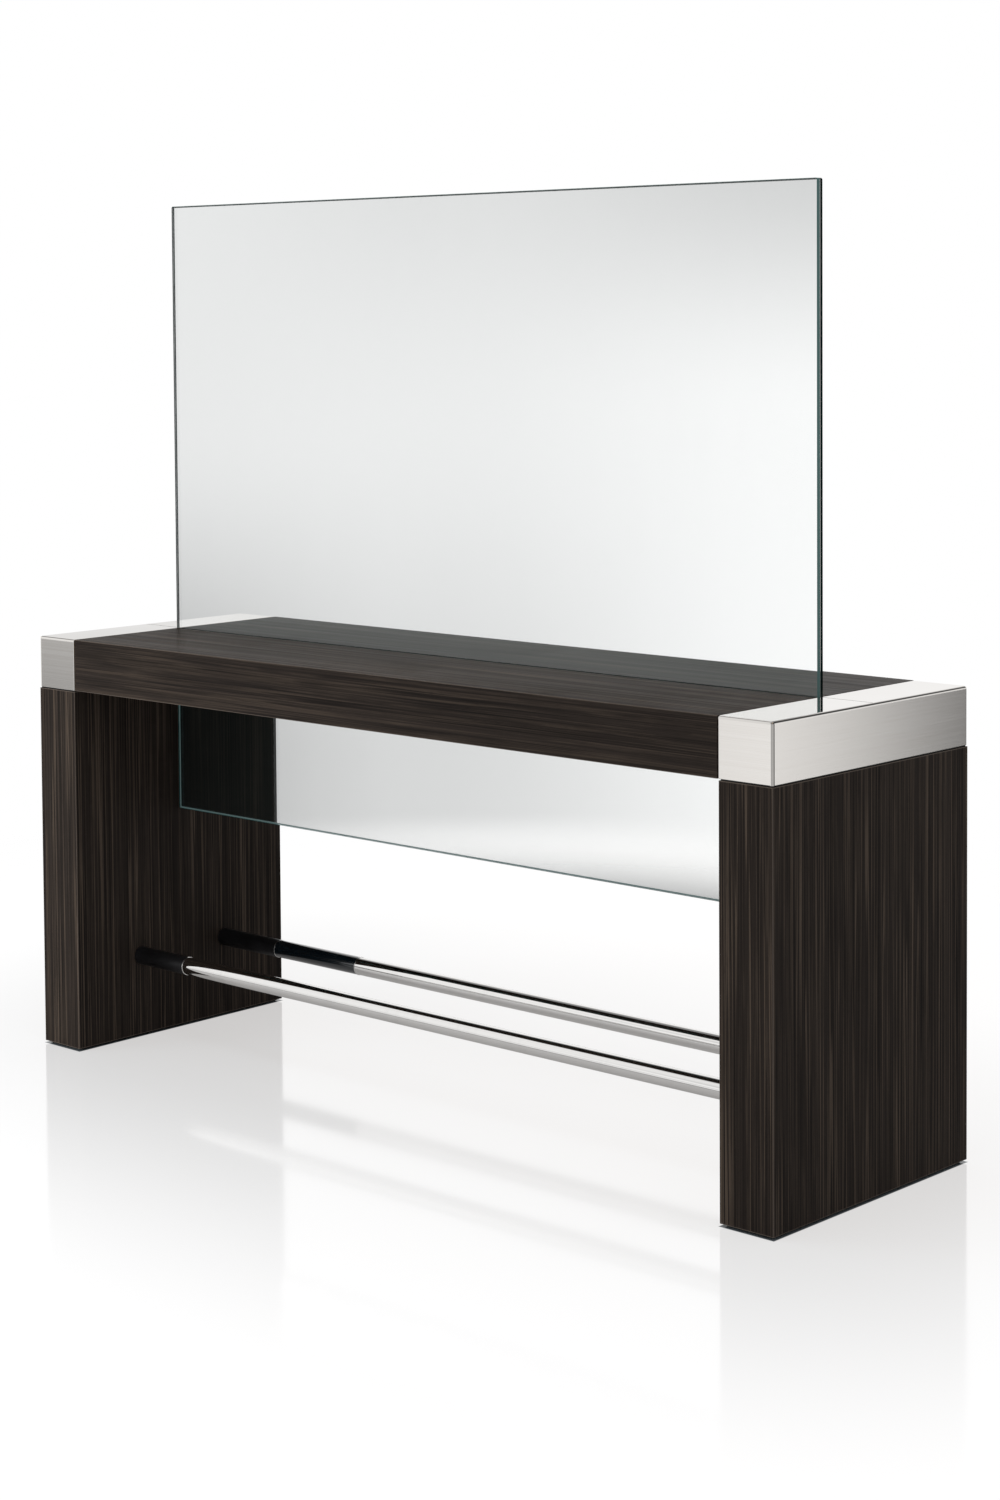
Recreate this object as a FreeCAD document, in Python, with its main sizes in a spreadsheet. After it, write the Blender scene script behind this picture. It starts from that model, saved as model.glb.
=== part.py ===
"""Double sided salon station.

Two veneered slab legs carry a hollow veneered beam that is the worktop of both sides. A full width
mirror, glazed on both faces, passes through a slot in the middle of the worktop. Each end of the beam
is wrapped in a folded stainless cap, and two chromed foot rails run from leg to leg.

Millimetres. +X runs along the station, +Y to its back, +Z up. The origin is on the floor under its middle.
"""
import FreeCAD, Part
import os
import re
import Sketcher
from FreeCAD import Vector

# ------------------------------------------------------------------ driving dimensions
DRIVING_SIZES = [
    ("overall_length", 2000, "end to end, over the caps"),
    ("overall_depth", 600, "front to back, both worktops"),
    ("worktop_height", 900, "floor to the top of the worktop"),
    ("beam_height", 111, "worktop box and end caps, top to bottom"),
    ("leg_thickness", 118, "a leg's size along the station"),
    ("leg_board", 19, "veneered board of the legs"),
    ("top_board", 18, "veneered board of the worktop box"),
    ("mirror_rise", 938, "worktop to the mirror's upper edge"),
    ("mirror_drop", 294, "underside of the worktop box to the mirror's lower edge"),
    ("pane_thickness", 8, "one silvered pane"),
    ("bond_thickness", 1, "black safety film between the panes"),
    ("mirror_end_gap", 1, "glass to leg, at each end"),
    ("mirror_corner", 4, "rounded corner of the glass"),
    ("glass_arris", 0.8, "ground edge of the glass"),
    ("slot_gap", 1, "glass to worktop, on each face"),
    ("gasket_thickness", 2, "rubber between glass and steel"),
    ("gasket_margin", 2, "gasket short of the steel tube, each side"),
    ("cap_sheet", 2, "stainless sheet of the end caps"),
    ("cap_edge", 3, "rounded outer edges of the end caps"),
    ("cap_gap", 1, "end cap to the end of the worktop box"),
    ("cap_core_wall", 18, "plywood former inside an end cap"),
    ("seam_width", 1.2, "open seam across the top of a cap"),
    ("seam_depth", 1, "depth of that seam"),
    ("shadow_gap", 2.5, "dark line between a cap and its leg"),
    ("shadow_inset", 3, "how far the dark line is set back"),
    ("floor_gap", 1, "floor to the base plate, feet fully in"),
    ("base_plate", 4, "thickness of the base plate"),
    ("base_inset", 9, "base plate set back from the leg's faces"),
    ("post_width", 40, "square steel post"),
    ("post_wall", 3, "its wall"),
    ("post_inset", 120, "a leg's front or rear face to the middle of its post"),
    ("post_hole_gap", 0.5, "post to the hole in the spacer plate"),
    ("tube_width", 40, "steel tube under the worktop, across"),
    ("tube_height", 60, "the same tube, upright"),
    ("tube_wall", 3, "its wall"),
    ("end_plate", 8, "plate that the two tubes end in"),
    ("rib_thickness", 18, "plywood rib of the worktop box"),
    ("rib_count", 5, "ribs on each side of the mirror"),
    ("rib_end_inset", 12, "end of the box to the last rib"),
    ("batten_thickness", 25, "spreader between a leg's two faces"),
    ("batten_height", 430, "floor to the lower spreader"),
    ("rail_diameter", 38, "foot rail tube"),
    ("rail_wall", 1.5, "its wall"),
    ("rail_inset", 177.5, "front or rear face to a foot rail's axis"),
    ("rail_height", 181, "floor to the foot rails' axes"),
    ("rail_hole_gap", 0.3, "foot rail to its hole, on the radius"),
    ("collar_width", 2, "rim of the ring round a foot rail"),
    ("collar_thickness", 1.5, "how far the ring stands off the leg"),
    ("carrier_thickness", 6, "plate that carries the foot rails"),
    ("carrier_height", 60, "its upright size"),
    ("spigot_length", 28, "plug inside a foot rail's end"),
    ("spigot_gap", 0.3, "plug to tube, on the radius"),
    ("foot_inset", 55, "a leg's front or rear face to the middle of its foot"),
    ("pad_diameter", 40, "levelling foot's pad"),
    ("pad_hole_gap", 1, "pad to its hole in the base plate"),
    ("pad_seat_gap", 0.3, "pad to the nut block, fully in"),
    ("pad_edge", 1, "rounded rim of the pad"),
    ("stud_diameter", 12, "levelling foot's stud"),
    ("stud_length", 45, "stud above its seat in the pad"),
    ("stud_seat", 2, "stud's end sunk in the pad"),
    ("stud_gap", 0.08, "stud to its threaded bore, on the radius"),
    ("block_height", 20, "nut block"),
    ("block_width", 50, "its sides"),
    ("clamp_diameter", 10, "bolts through tubes and mirror, midway between ribs"),
    ("clamp_flats", 17, "their head and nut, across the flats"),
    ("clamp_head", 6.4, "head height"),
    ("clamp_nut", 8, "nut height"),
    ("clamp_end", 4, "shank past the nut"),
    ("clamp_hole_gap", 0.5, "shank to the hole in the steel, on the radius"),
    ("nut_gap", 0.1, "shank to nut, on the radius"),
    ("sleeve_diameter", 17.6, "nylon sleeve in the glass"),
    ("sleeve_bore_gap", 0.2, "sleeve to shank, on the radius"),
    ("sleeve_hole_gap", 0.2, "sleeve to glass, on the radius"),
    ("bolt_diameter", 8, "bolts of the frame and the rails"),
    ("bolt_flats", 13, "their heads across the flats"),
    ("bolt_head", 5.3, "head height"),
    ("bolt_hole_gap", 0.5, "shank to its clearance hole, on the radius"),
    ("bolt_thread_gap", 0.1, "shank to its threaded bore, on the radius"),
    ("bolt_grip", 16, "shank past the plate it holds"),
    ("end_bolt_offset", 15, "steel tube to the middle of a frame bolt"),
    ("end_bolt_edge", 15, "middle of a frame bolt to its plate's edge"),
    ("end_bolt_pitch", 30, "between frame bolts, upright"),
    ("screw_diameter", 6, "machine screws of the rail plate"),
    ("screw_head_diameter", 11, "their round head"),
    ("screw_head", 3.3, "its height"),
    ("screw_grip", 9, "shank past the plate"),
    ("screw_pitch", 36, "between the two screws of a post"),
    ("soffit_screw_diameter", 4, "wood screws under the worktop box"),
    ("soffit_head_diameter", 8, "their head"),
    ("soffit_head", 2.6, "head height"),
    ("soffit_recess", 1, "head sunk below the board's face"),
    ("soffit_hole_gap", 0.25, "screw to its holes, on the radius"),
    ("soffit_screw_length", 32, "under the head"),
    ("soffit_screw_start", 50, "steel tube to the inner screws"),
    ("soffit_screw_inset", 60, "front or rear face to the outer screws"),
]

document = FreeCAD.newDocument("SalonStation")
sheet = document.addObject("Spreadsheet::Sheet", "Sizes")
for row, (alias, value, meaning) in enumerate(DRIVING_SIZES, start=1):
    sheet.set(f"A{row}", meaning)
    sheet.set(f"B{row}", str(value))
    sheet.setAlias(f"B{row}", alias)
document.recompute()

ALIASES = {alias for alias, value, meaning in DRIVING_SIZES}

# ------------------------------------------------------------------ places that several pieces share
HALF_LENGTH = "(overall_length / 2)"
HALF_DEPTH = "(overall_depth / 2)"
LEG_INNER = f"({HALF_LENGTH} - leg_thickness)"
LEG_MIDDLE = f"({HALF_LENGTH} - leg_thickness / 2)"
LEG_BOTTOM = "(floor_gap + base_plate)"
BEAM_BOTTOM = "(worktop_height - beam_height)"
BEAM_MIDDLE = "(worktop_height - beam_height / 2)"
LEG_TOP = f"({BEAM_BOTTOM} - shadow_gap)"
HALF_CAVITY = "(leg_thickness / 2 - leg_board)"
BOX_END = f"({LEG_INNER} - cap_gap)"
MIRROR_TOP = "(worktop_height + mirror_rise)"
MIRROR_BOTTOM = f"({BEAM_BOTTOM} - mirror_drop)"
MIRROR_END = f"({LEG_INNER} - mirror_end_gap)"
MIRROR_FACE = "(pane_thickness + bond_thickness / 2)"
SLOT_EDGE = f"({MIRROR_FACE} + slot_gap)"
TUBE_NEAR = f"({MIRROR_FACE} + gasket_thickness)"
TUBE_FAR = f"({TUBE_NEAR} + tube_width)"
TUBE_BOTTOM = f"({BEAM_MIDDLE} - tube_height / 2)"
TUBE_TOP = f"({BEAM_MIDDLE} + tube_height / 2)"
POST_NEAR = f"({LEG_MIDDLE} - post_width / 2)"
POST_ACROSS = f"({HALF_DEPTH} - post_inset)"
POST_GAP_HALF = f"({POST_ACROSS} - post_width / 2)"
RAIL_ACROSS = f"({HALF_DEPTH} - rail_inset)"
FOOT_ACROSS = f"({HALF_DEPTH} - foot_inset)"
PLATE_NEAR = f"({POST_NEAR} - end_plate)"
CARRIER_NEAR = f"({POST_NEAR} - carrier_thickness)"
RIB_REACH = f"({BOX_END} - rib_end_inset - rib_thickness / 2)"
CLAMP_REACH = f"({RIB_REACH} * (rib_count - 2) / (rib_count - 1))"
CLAMP_COUNT = "rib_count - 1"
END_BOLT_ACROSS = f"({TUBE_FAR} + end_bolt_offset)"
RAIL_HOLE = "(rail_diameter / 2 + rail_hole_gap)"
GLASS_HOLE = "(sleeve_diameter / 2 + sleeve_hole_gap)"
BOLT_HOLE = "(bolt_diameter / 2 + bolt_hole_gap)"
SCREW_HOLE = "(screw_diameter / 2 + bolt_hole_gap)"
SOFFIT_HOLE = "(soffit_screw_diameter / 2 + soffit_hole_gap)"
SIDES = (("left", -1), ("right", 1))
FACES = (("front", -1), ("rear", 1))

pieces = []


def sized(text):
    """An expression with every size name pointed at its cell."""

    def cell(word):
        return f"Sizes.{word.group()}" if word.group() in ALIASES else word.group()

    return re.sub("[a-z_]+", cell, text)


def number(text):
    """The present value of an expression."""
    return float(sheet.evalExpression(sized(text)))


# ------------------------------------------------------------------ ways of making a piece
def new_body(label):
    """An empty body that becomes one piece, or one group of like pieces."""
    body = document.addObject("PartDesign::Body", label)
    body.Label = label
    pieces.append(body)
    return body


def origin_feature(body, role):
    return next(feature for feature in body.Origin.OriginFeatures if feature.Role == role)


def new_sketch(body, plane, offset="0"):
    """A sketch on one of the body's own origin planes, moved along that plane's normal."""
    sketch = body.newObject("Sketcher::SketchObject", f"{body.Name}_sketch")
    sketch.AttachmentSupport = (origin_feature(body, plane), [""])
    sketch.MapMode = "FlatFace"
    sketch.setExpression("AttachmentOffset.Base.z", sized(offset))
    return sketch


def fix(sketch, kind, geometry, point, text):
    """Holds a point of the sketch at a named distance from its origin."""
    index = sketch.addConstraint(Sketcher.Constraint(kind, geometry, point, number(text)))
    sketch.setExpression(f"Constraints[{index}]", sized(text))


def polygon(sketch, corners):
    """A closed outline through corners that are given as pairs of expressions."""
    spots = [Vector(number(across), number(up), 0) for across, up in corners]
    first = sketch.GeometryCount
    for index, spot in enumerate(spots):
        sketch.addGeometry(Part.LineSegment(spot, spots[(index + 1) % len(spots)]))
    for index, (across, up) in enumerate(corners):
        line = first + index
        following = first + (index + 1) % len(corners)
        sketch.addConstraint(Sketcher.Constraint("Coincident", line, 2, following, 1))
        fix(sketch, "DistanceX", line, 1, across)
        fix(sketch, "DistanceY", line, 1, up)


def rectangle(sketch, left, low, right, high):
    polygon(sketch, [(left, low), (right, low), (right, high), (left, high)])


def square(sketch, across, up, half):
    rectangle(sketch, f"{across} - ({half})", f"{up} - ({half})", f"{across} + ({half})", f"{up} + ({half})")


def circle(sketch, across, up, radius):
    centre = Vector(number(across), number(up), 0)
    index = sketch.addGeometry(Part.Circle(centre, Vector(0, 0, 1), number(radius)))
    fix(sketch, "DistanceX", index, 3, across)
    fix(sketch, "DistanceY", index, 3, up)
    limit = sketch.addConstraint(Sketcher.Constraint("Radius", index, number(radius)))
    sketch.setExpression(f"Constraints[{limit}]", sized(radius))


def hexagon(sketch, across, up, flats):
    """A nut's outline, with two of its flats upright."""
    half = f"({flats} / 2)"
    point = f"({flats} / sqrt(3))"
    corners = [(half, f"({point} / 2)"), ("0", point), (f"(-{half})", f"({point} / 2)")]
    corners += [(f"(-{half})", f"(-{point} / 2)"), ("0", f"(-{point})"), (half, f"(-{point} / 2)")]
    polygon(sketch, [(f"{across} + {right}", f"{up} + {top}") for right, top in corners])


def extrude(body, sketch, length, symmetric=False):
    """Adds the sketch's outline as a prism along its normal."""
    feature = body.newObject("PartDesign::Pad", f"{body.Name}_pad")
    feature.Profile = sketch
    feature.setExpression("Length", sized(length))
    feature.SideType = "Symmetric" if symmetric else "One side"
    document.recompute()
    return feature


def cut_through(body, sketch):
    """Cuts the sketch's outline right through, both ways."""
    feature = body.newObject("PartDesign::Pocket", f"{body.Name}_hole")
    feature.Profile = sketch
    feature.Type = "ThroughAll"
    feature.SideType = "Symmetric"
    document.recompute()
    return feature


def cut_along_normal(body, sketch, depth):
    """Cuts the sketch's outline to a depth, along the plane's normal."""
    feature = body.newObject("PartDesign::Pocket", f"{body.Name}_pocket")
    feature.Profile = sketch
    feature.setExpression("Length", sized(depth))
    feature.Reversed = True
    document.recompute()
    return feature


def repeat_along_x(body, features, reach, count):
    """Copies features that stand at one end of a row, from -reach to +reach."""
    row = body.newObject("PartDesign::LinearPattern", f"{body.Name}_row")
    row.Originals = features
    row.Direction = (origin_feature(body, "X_Axis"), [""])
    row.Mode = "Extent"
    row.setExpression("Length", sized(f"2 * {reach}"))
    row.setExpression("Occurrences", sized(count))
    body.Tip = row
    document.recompute()


def mirror_to_left(body, features):
    """Copies features of the right leg to the left one."""
    twin = body.newObject("PartDesign::Mirrored", f"{body.Name}_twin")
    twin.Originals = features
    twin.MirrorPlane = (origin_feature(body, "YZ_Plane"), [""])
    body.Tip = twin
    document.recompute()


def dress_edges(body, kind, edges, size, width):
    """A fillet or chamfer on chosen edges of the body's latest feature."""
    base = body.Tip
    feature = body.newObject(f"PartDesign::{kind}", f"{body.Name}_edges")
    feature.Base = (base, edges)
    feature.setExpression(size, sized(width))
    document.recompute()
    return feature


def edges_where(feature, wanted):
    """Names of a feature's edges whose bounding box passes a test."""
    edges = enumerate(feature.Shape.Edges, start=1)
    return [f"Edge{index}" for index, edge in edges if wanted(edge.BoundBox)]


def near(value, text):
    tolerance = 0.001
    return abs(value - number(text)) < tolerance


# ------------------------------------------------------------------ legs
def leg_board(label, corners):
    """One veneered board of a leg's casing, mitred to its two neighbours."""
    body = new_body(label)
    body.setExpression("Placement.Base.z", sized(LEG_BOTTOM))
    sketch = new_sketch(body, "XY_Plane")
    polygon(sketch, corners)
    extrude(body, sketch, f"{LEG_TOP} - {LEG_BOTTOM}")
    return body


def leg_casing(name, side):
    """Four mitred boards. The rails pass through the one that faces the middle of the station."""
    outer = f"{side} * {HALF_LENGTH}"
    inner = f"{side} * {LEG_INNER}"
    outer_mitre = f"{side} * ({HALF_LENGTH} - leg_board)"
    inner_mitre = f"{side} * ({LEG_INNER} + leg_board)"
    mitre = f"({HALF_DEPTH} - leg_board)"
    for label, face, back in (("outer", outer, outer_mitre), ("inner", inner, inner_mitre)):
        corners = [(face, f"-{HALF_DEPTH}"), (face, HALF_DEPTH), (back, mitre), (back, f"-{mitre}")]
        panel = leg_board(f"{name}_leg_{label}_panel", corners)
    holes = new_sketch(panel, "YZ_Plane")
    for across, up in rail_spots():
        circle(holes, across, f"{up} - {LEG_BOTTOM}", RAIL_HOLE)
    cut_through(panel, holes)
    for face, way in FACES:
        edge, back = f"{way} * {HALF_DEPTH}", f"{way} * {mitre}"
        corners = [(inner, edge), (outer, edge), (outer_mitre, back), (inner_mitre, back)]
        leg_board(f"{name}_leg_{face}_panel", corners)


def leg_battens():
    """Spreaders that hold a leg's two faces apart, between its posts. The upper ones carry the spacers."""
    body = new_body("leg_battens")
    for low in (f"{LEG_TOP} - batten_thickness", "batten_height"):
        for name, side in SIDES:
            middle = f"{side} * {LEG_MIDDLE}"
            sketch = new_sketch(body, "XY_Plane", low)
            rectangle(sketch, f"{middle} - {HALF_CAVITY}", f"-{POST_GAP_HALF}",
                      f"{middle} + {HALF_CAVITY}", POST_GAP_HALF)
            extrude(body, sketch, "batten_thickness")


def gap_spacer(name, side):
    """The dark plate set back between a leg and its cap. The posts pass through it."""
    body = new_body(f"{name}_gap_spacer")
    body.setExpression("Placement.Base.z", sized(LEG_TOP))
    sketch = new_sketch(body, "XY_Plane")
    set_back_plate(sketch, side, "shadow_inset")
    for face, way in FACES:
        square(sketch, f"{side} * {LEG_MIDDLE}", f"{way} * {POST_ACROSS}", "post_width / 2 + post_hole_gap")
    extrude(body, sketch, "shadow_gap")


def set_back_plate(sketch, side, inset):
    """A leg's own outline, made smaller all round."""
    middle = f"{side} * {LEG_MIDDLE}"
    rectangle(sketch, f"{middle} - (leg_thickness / 2 - {inset})", f"-({HALF_DEPTH} - {inset})",
              f"{middle} + (leg_thickness / 2 - {inset})", f"{HALF_DEPTH} - {inset}")


# ------------------------------------------------------------------ steel frame
def base_plate(name, side):
    """The set back plate that a leg stands on, with a hole round each levelling foot."""
    body = new_body(f"{name}_base_plate")
    body.setExpression("Placement.Base.z", sized("floor_gap"))
    sketch = new_sketch(body, "XY_Plane")
    set_back_plate(sketch, side, "base_inset")
    for face, way in FACES:
        circle(sketch, f"{side} * {LEG_MIDDLE}", f"{way} * {FOOT_ACROSS}", "pad_diameter / 2 + pad_hole_gap")
    extrude(body, sketch, "base_plate")


def leg_posts(name, side):
    """Two square tubes from the base plate up into the cap, drilled for the rail plate's screws."""
    body = new_body(f"{name}_leg_posts")
    body.setExpression("Placement.Base.z", sized(LEG_BOTTOM))
    sketch = new_sketch(body, "XY_Plane")
    for face, way in FACES:
        for half in ("post_width / 2", "post_width / 2 - post_wall"):
            square(sketch, f"{side} * {LEG_MIDDLE}", f"{way} * {POST_ACROSS}", half)
    extrude(body, sketch, f"{TUBE_TOP} - {LEG_BOTTOM}")
    holes = new_sketch(body, "YZ_Plane")
    for across, up in screw_spots():
        circle(holes, across, f"{up} - {LEG_BOTTOM}", SCREW_HOLE)
    cut_through(body, holes)


def four_spots(across, height, pitch):
    """Two spots above each other at the front and two at the rear: across and height."""
    corners = [(way, up) for way in (-1, 1) for up in (-1, 1)]
    return [(f"{way} * {across}", f"{height} + {up} * {pitch} / 2") for way, up in corners]


def screw_spots():
    """Where the rail plate is screwed to the posts."""
    return four_spots(POST_ACROSS, "rail_height", "screw_pitch")


def end_bolt_spots():
    """Where the worktop's tubes are bolted to a leg."""
    return four_spots(END_BOLT_ACROSS, BEAM_MIDDLE, "end_bolt_pitch")


def rail_spots():
    """The foot rails' axes: across and height."""
    return [(f"{way} * {RAIL_ACROSS}", "rail_height") for way in (-1, 1)]


def drill_along_x(body, spots, radius):
    holes = new_sketch(body, "YZ_Plane")
    for across, up in spots:
        circle(holes, across, up, radius)
    cut_through(body, holes)


def head_rails():
    """A cross tube between the tops of each leg's posts."""
    body = new_body("head_rails")
    sketch = new_sketch(body, "XZ_Plane")
    for name, side in SIDES:
        for wall in ("0", "post_wall"):
            rectangle(sketch, f"{side} * {LEG_MIDDLE} - post_width / 2 + {wall}", f"{TUBE_BOTTOM} + {wall}",
                      f"{side} * {LEG_MIDDLE} + post_width / 2 - {wall}", f"{TUBE_TOP} - {wall}")
    extrude(body, sketch, f"2 * {POST_GAP_HALF}", symmetric=True)
    drill_along_x(body, end_bolt_spots(), BOLT_HOLE)


def beam_end_plates():
    """A plate at each end of the worktop's two tubes, bolted to the head rail."""
    body = new_body("beam_end_plates")
    sketch = new_sketch(body, "XY_Plane", TUBE_BOTTOM)
    for name, side in SIDES:
        rectangle(sketch, f"{side} * {PLATE_NEAR}", f"-({END_BOLT_ACROSS} + end_bolt_edge)",
                  f"{side} * {POST_NEAR}", f"{END_BOLT_ACROSS} + end_bolt_edge")
    extrude(body, sketch, "tube_height")
    drill_along_x(body, end_bolt_spots(), BOLT_HOLE)


def worktop_tube(face, way):
    """A steel tube the length of the worktop. The two of them grip the mirror."""
    body = new_body(f"{face}_worktop_tube")
    sketch = new_sketch(body, "YZ_Plane")
    for wall in ("0", "tube_wall"):
        rectangle(sketch, f"{way} * ({TUBE_NEAR} + {wall})", f"{TUBE_BOTTOM} + {wall}",
                  f"{way} * ({TUBE_FAR} - {wall})", f"{TUBE_TOP} - {wall}")
    extrude(body, sketch, f"2 * {PLATE_NEAR}", symmetric=True)
    clamp_holes(body, "clamp_diameter / 2 + clamp_hole_gap")


def clamp_holes(body, radius):
    """A row of holes from front to back for the bolts that grip the mirror."""
    sketch = new_sketch(body, "XZ_Plane")
    circle(sketch, f"-{CLAMP_REACH}", BEAM_MIDDLE, radius)
    hole = cut_through(body, sketch)
    repeat_along_x(body, [hole], CLAMP_REACH, CLAMP_COUNT)


# ------------------------------------------------------------------ worktop box
def box_board(label, corners):
    """One veneered board along the whole worktop box, mitred to its neighbours."""
    body = new_body(label)
    sketch = new_sketch(body, "YZ_Plane")
    polygon(sketch, corners)
    extrude(body, sketch, f"2 * {BOX_END}", symmetric=True)
    return body


def worktop_box(face, way):
    """Top, apron and soffit of one side. They meet in mitres along both long edges."""
    edge, slot = f"{way} * {HALF_DEPTH}", f"{way} * {SLOT_EDGE}"
    inner = f"{way} * ({HALF_DEPTH} - top_board)"
    under_top, over_soffit = "worktop_height - top_board", f"{BEAM_BOTTOM} + top_board"
    top = [(edge, "worktop_height"), (slot, "worktop_height"), (slot, under_top), (inner, under_top)]
    apron = [(edge, BEAM_BOTTOM), (edge, "worktop_height"), (inner, under_top), (inner, over_soffit)]
    underside = [(edge, BEAM_BOTTOM), (slot, BEAM_BOTTOM), (slot, over_soffit), (inner, over_soffit)]
    box_board(f"{face}_worktop_panel", top)
    box_board(f"{face}_apron", apron)
    soffit = box_board(f"{face}_soffit", underside)
    holes = new_sketch(soffit, "XY_Plane")
    recesses = new_sketch(soffit, "XY_Plane", BEAM_BOTTOM)
    for across in soffit_screw_rows(way):
        circle(holes, f"-{RIB_REACH}", across, SOFFIT_HOLE)
        circle(recesses, f"-{RIB_REACH}", across, "soffit_head_diameter / 2 + soffit_hole_gap")
    hole = cut_through(soffit, holes)
    recess = cut_along_normal(soffit, recesses, "soffit_head + soffit_recess")
    repeat_along_x(soffit, [hole, recess], RIB_REACH, "rib_count")
    worktop_ribs(face, way)


def soffit_screw_rows(way):
    return [f"{way} * ({TUBE_FAR} + soffit_screw_start)", f"{way} * ({HALF_DEPTH} - soffit_screw_inset)"]


def worktop_ribs(face, way):
    """Ribs that stiffen one side of the box and hang it on its steel tube."""
    body = new_body(f"{face}_worktop_ribs")
    sketch = new_sketch(body, "XY_Plane", f"{BEAM_BOTTOM} + top_board")
    rectangle(sketch, f"-{RIB_REACH} - rib_thickness / 2", f"{way} * {TUBE_FAR}",
              f"-{RIB_REACH} + rib_thickness / 2", f"{way} * ({HALF_DEPTH} - top_board)")
    for across in soffit_screw_rows(way):
        circle(sketch, f"-{RIB_REACH}", across, SOFFIT_HOLE)
    rib = extrude(body, sketch, "beam_height - 2 * top_board")
    repeat_along_x(body, [rib], RIB_REACH, "rib_count")


def soffit_screws():
    """Wood screws, from below, through the soffits into the ribs."""
    body = new_body("soffit_screws")
    heads = new_sketch(body, "XY_Plane", f"{BEAM_BOTTOM} + soffit_recess")
    shanks = new_sketch(body, "XY_Plane", f"{BEAM_BOTTOM} + soffit_recess + soffit_head")
    for face, way in FACES:
        for across in soffit_screw_rows(way):
            circle(heads, f"-{RIB_REACH}", across, "soffit_head_diameter / 2")
            circle(shanks, f"-{RIB_REACH}", across, "soffit_screw_diameter / 2")
    head = extrude(body, heads, "soffit_head")
    shank = extrude(body, shanks, "soffit_screw_length")
    repeat_along_x(body, [head, shank], RIB_REACH, "rib_count")


# ------------------------------------------------------------------ end caps
def end_cap(name, side):
    """Folded stainless sheet over a beam end, open below and to the worktop, with a seam across its top."""
    body = new_body(f"{name}_end_cap")
    body.setExpression("Placement.Base.z", sized(BEAM_BOTTOM))
    sketch = new_sketch(body, "XY_Plane")
    outer = f"{side} * {HALF_LENGTH}"
    rectangle(sketch, f"{side} * {LEG_INNER}", f"-{HALF_DEPTH}", outer, HALF_DEPTH)
    block = extrude(body, sketch, "beam_height")

    def is_folded(box):
        at_end = near(box.XMin, outer) and near(box.XMax, outer)
        along_top = near(box.ZMin, "beam_height") and box.XLength > number("cap_edge")
        return (at_end or along_top) and not near(box.ZMax, "0")

    dress_edges(body, "Fillet", edges_where(block, is_folded), "Radius", "cap_edge")
    hollow = new_sketch(body, "XY_Plane")
    rectangle(hollow, f"{side} * {LEG_INNER}", f"-{HALF_DEPTH} + cap_sheet",
              f"{side} * ({HALF_LENGTH} - cap_sheet)", f"{HALF_DEPTH} - cap_sheet")
    cut_along_normal(body, hollow, "beam_height - cap_sheet")
    seam = new_sketch(body, "XY_Plane", "beam_height - seam_depth")
    rectangle(seam, f"{side} * {LEG_INNER}", "-seam_width / 2", outer, "seam_width / 2")
    cut_along_normal(body, seam, "seam_depth")


def cap_core(name, side):
    """The plywood former that the cap is glued to: ends, back and top, hollow round the frame."""
    body = new_body(f"{name}_cap_core")
    body.setExpression("Placement.Base.z", sized(BEAM_BOTTOM))
    sketch = new_sketch(body, "XY_Plane")
    rectangle(sketch, f"{side} * {LEG_INNER}", f"-{HALF_DEPTH} + cap_sheet",
              f"{side} * ({HALF_LENGTH} - cap_sheet)", f"{HALF_DEPTH} - cap_sheet")
    extrude(body, sketch, "beam_height - cap_sheet")
    hollow = new_sketch(body, "XY_Plane")
    rectangle(hollow, f"{side} * {LEG_INNER}", f"-{HALF_DEPTH} + cap_sheet + cap_core_wall",
              f"{side} * ({HALF_LENGTH} - cap_sheet - cap_core_wall)",
              f"{HALF_DEPTH} - cap_sheet - cap_core_wall")
    cut_along_normal(body, hollow, "beam_height - cap_sheet - cap_core_wall")


# ------------------------------------------------------------------ mirror
def mirror_outline(sketch):
    rectangle(sketch, f"-{MIRROR_END}", MIRROR_BOTTOM, MIRROR_END, MIRROR_TOP)


def mirror_pane(face, way):
    """A silvered pane with rounded corners and ground edges, drilled for the sleeves."""
    body = new_body(f"{face}_mirror_pane")
    start = "bond_thickness / 2" if way < 0 else f"-{MIRROR_FACE}"
    sketch = new_sketch(body, "XZ_Plane", start)
    mirror_outline(sketch)
    block = extrude(body, sketch, "pane_thickness")
    corners = edges_where(block, lambda box: near(box.YLength, "pane_thickness"))
    rounded = dress_edges(body, "Fillet", corners, "Radius", "mirror_corner")
    front = f"{way} * {MIRROR_FACE}"
    rim = edges_where(rounded, lambda box: near(box.YMin, front) and near(box.YMax, front))
    dress_edges(body, "Chamfer", rim, "Size", "glass_arris")
    clamp_holes(body, GLASS_HOLE)


def mirror_bond():
    """The black safety film that joins the two panes back to back."""
    body = new_body("mirror_bond_film")
    sketch = new_sketch(body, "XZ_Plane")
    mirror_outline(sketch)
    block = extrude(body, sketch, "bond_thickness", symmetric=True)
    corners = edges_where(block, lambda box: near(box.YLength, "bond_thickness"))
    dress_edges(body, "Fillet", corners, "Radius", "mirror_corner")
    clamp_holes(body, GLASS_HOLE)


def mirror_gasket(face, way):
    """Rubber strip between a pane and its steel tube."""
    body = new_body(f"{face}_mirror_gasket")
    sketch = new_sketch(body, "XZ_Plane", MIRROR_FACE if way < 0 else f"-{TUBE_NEAR}")
    rectangle(sketch, f"-({MIRROR_END} - gasket_margin)", f"{TUBE_BOTTOM} + gasket_margin",
              f"{MIRROR_END} - gasket_margin", f"{TUBE_TOP} - gasket_margin")
    extrude(body, sketch, "gasket_thickness")
    clamp_holes(body, GLASS_HOLE)


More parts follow.
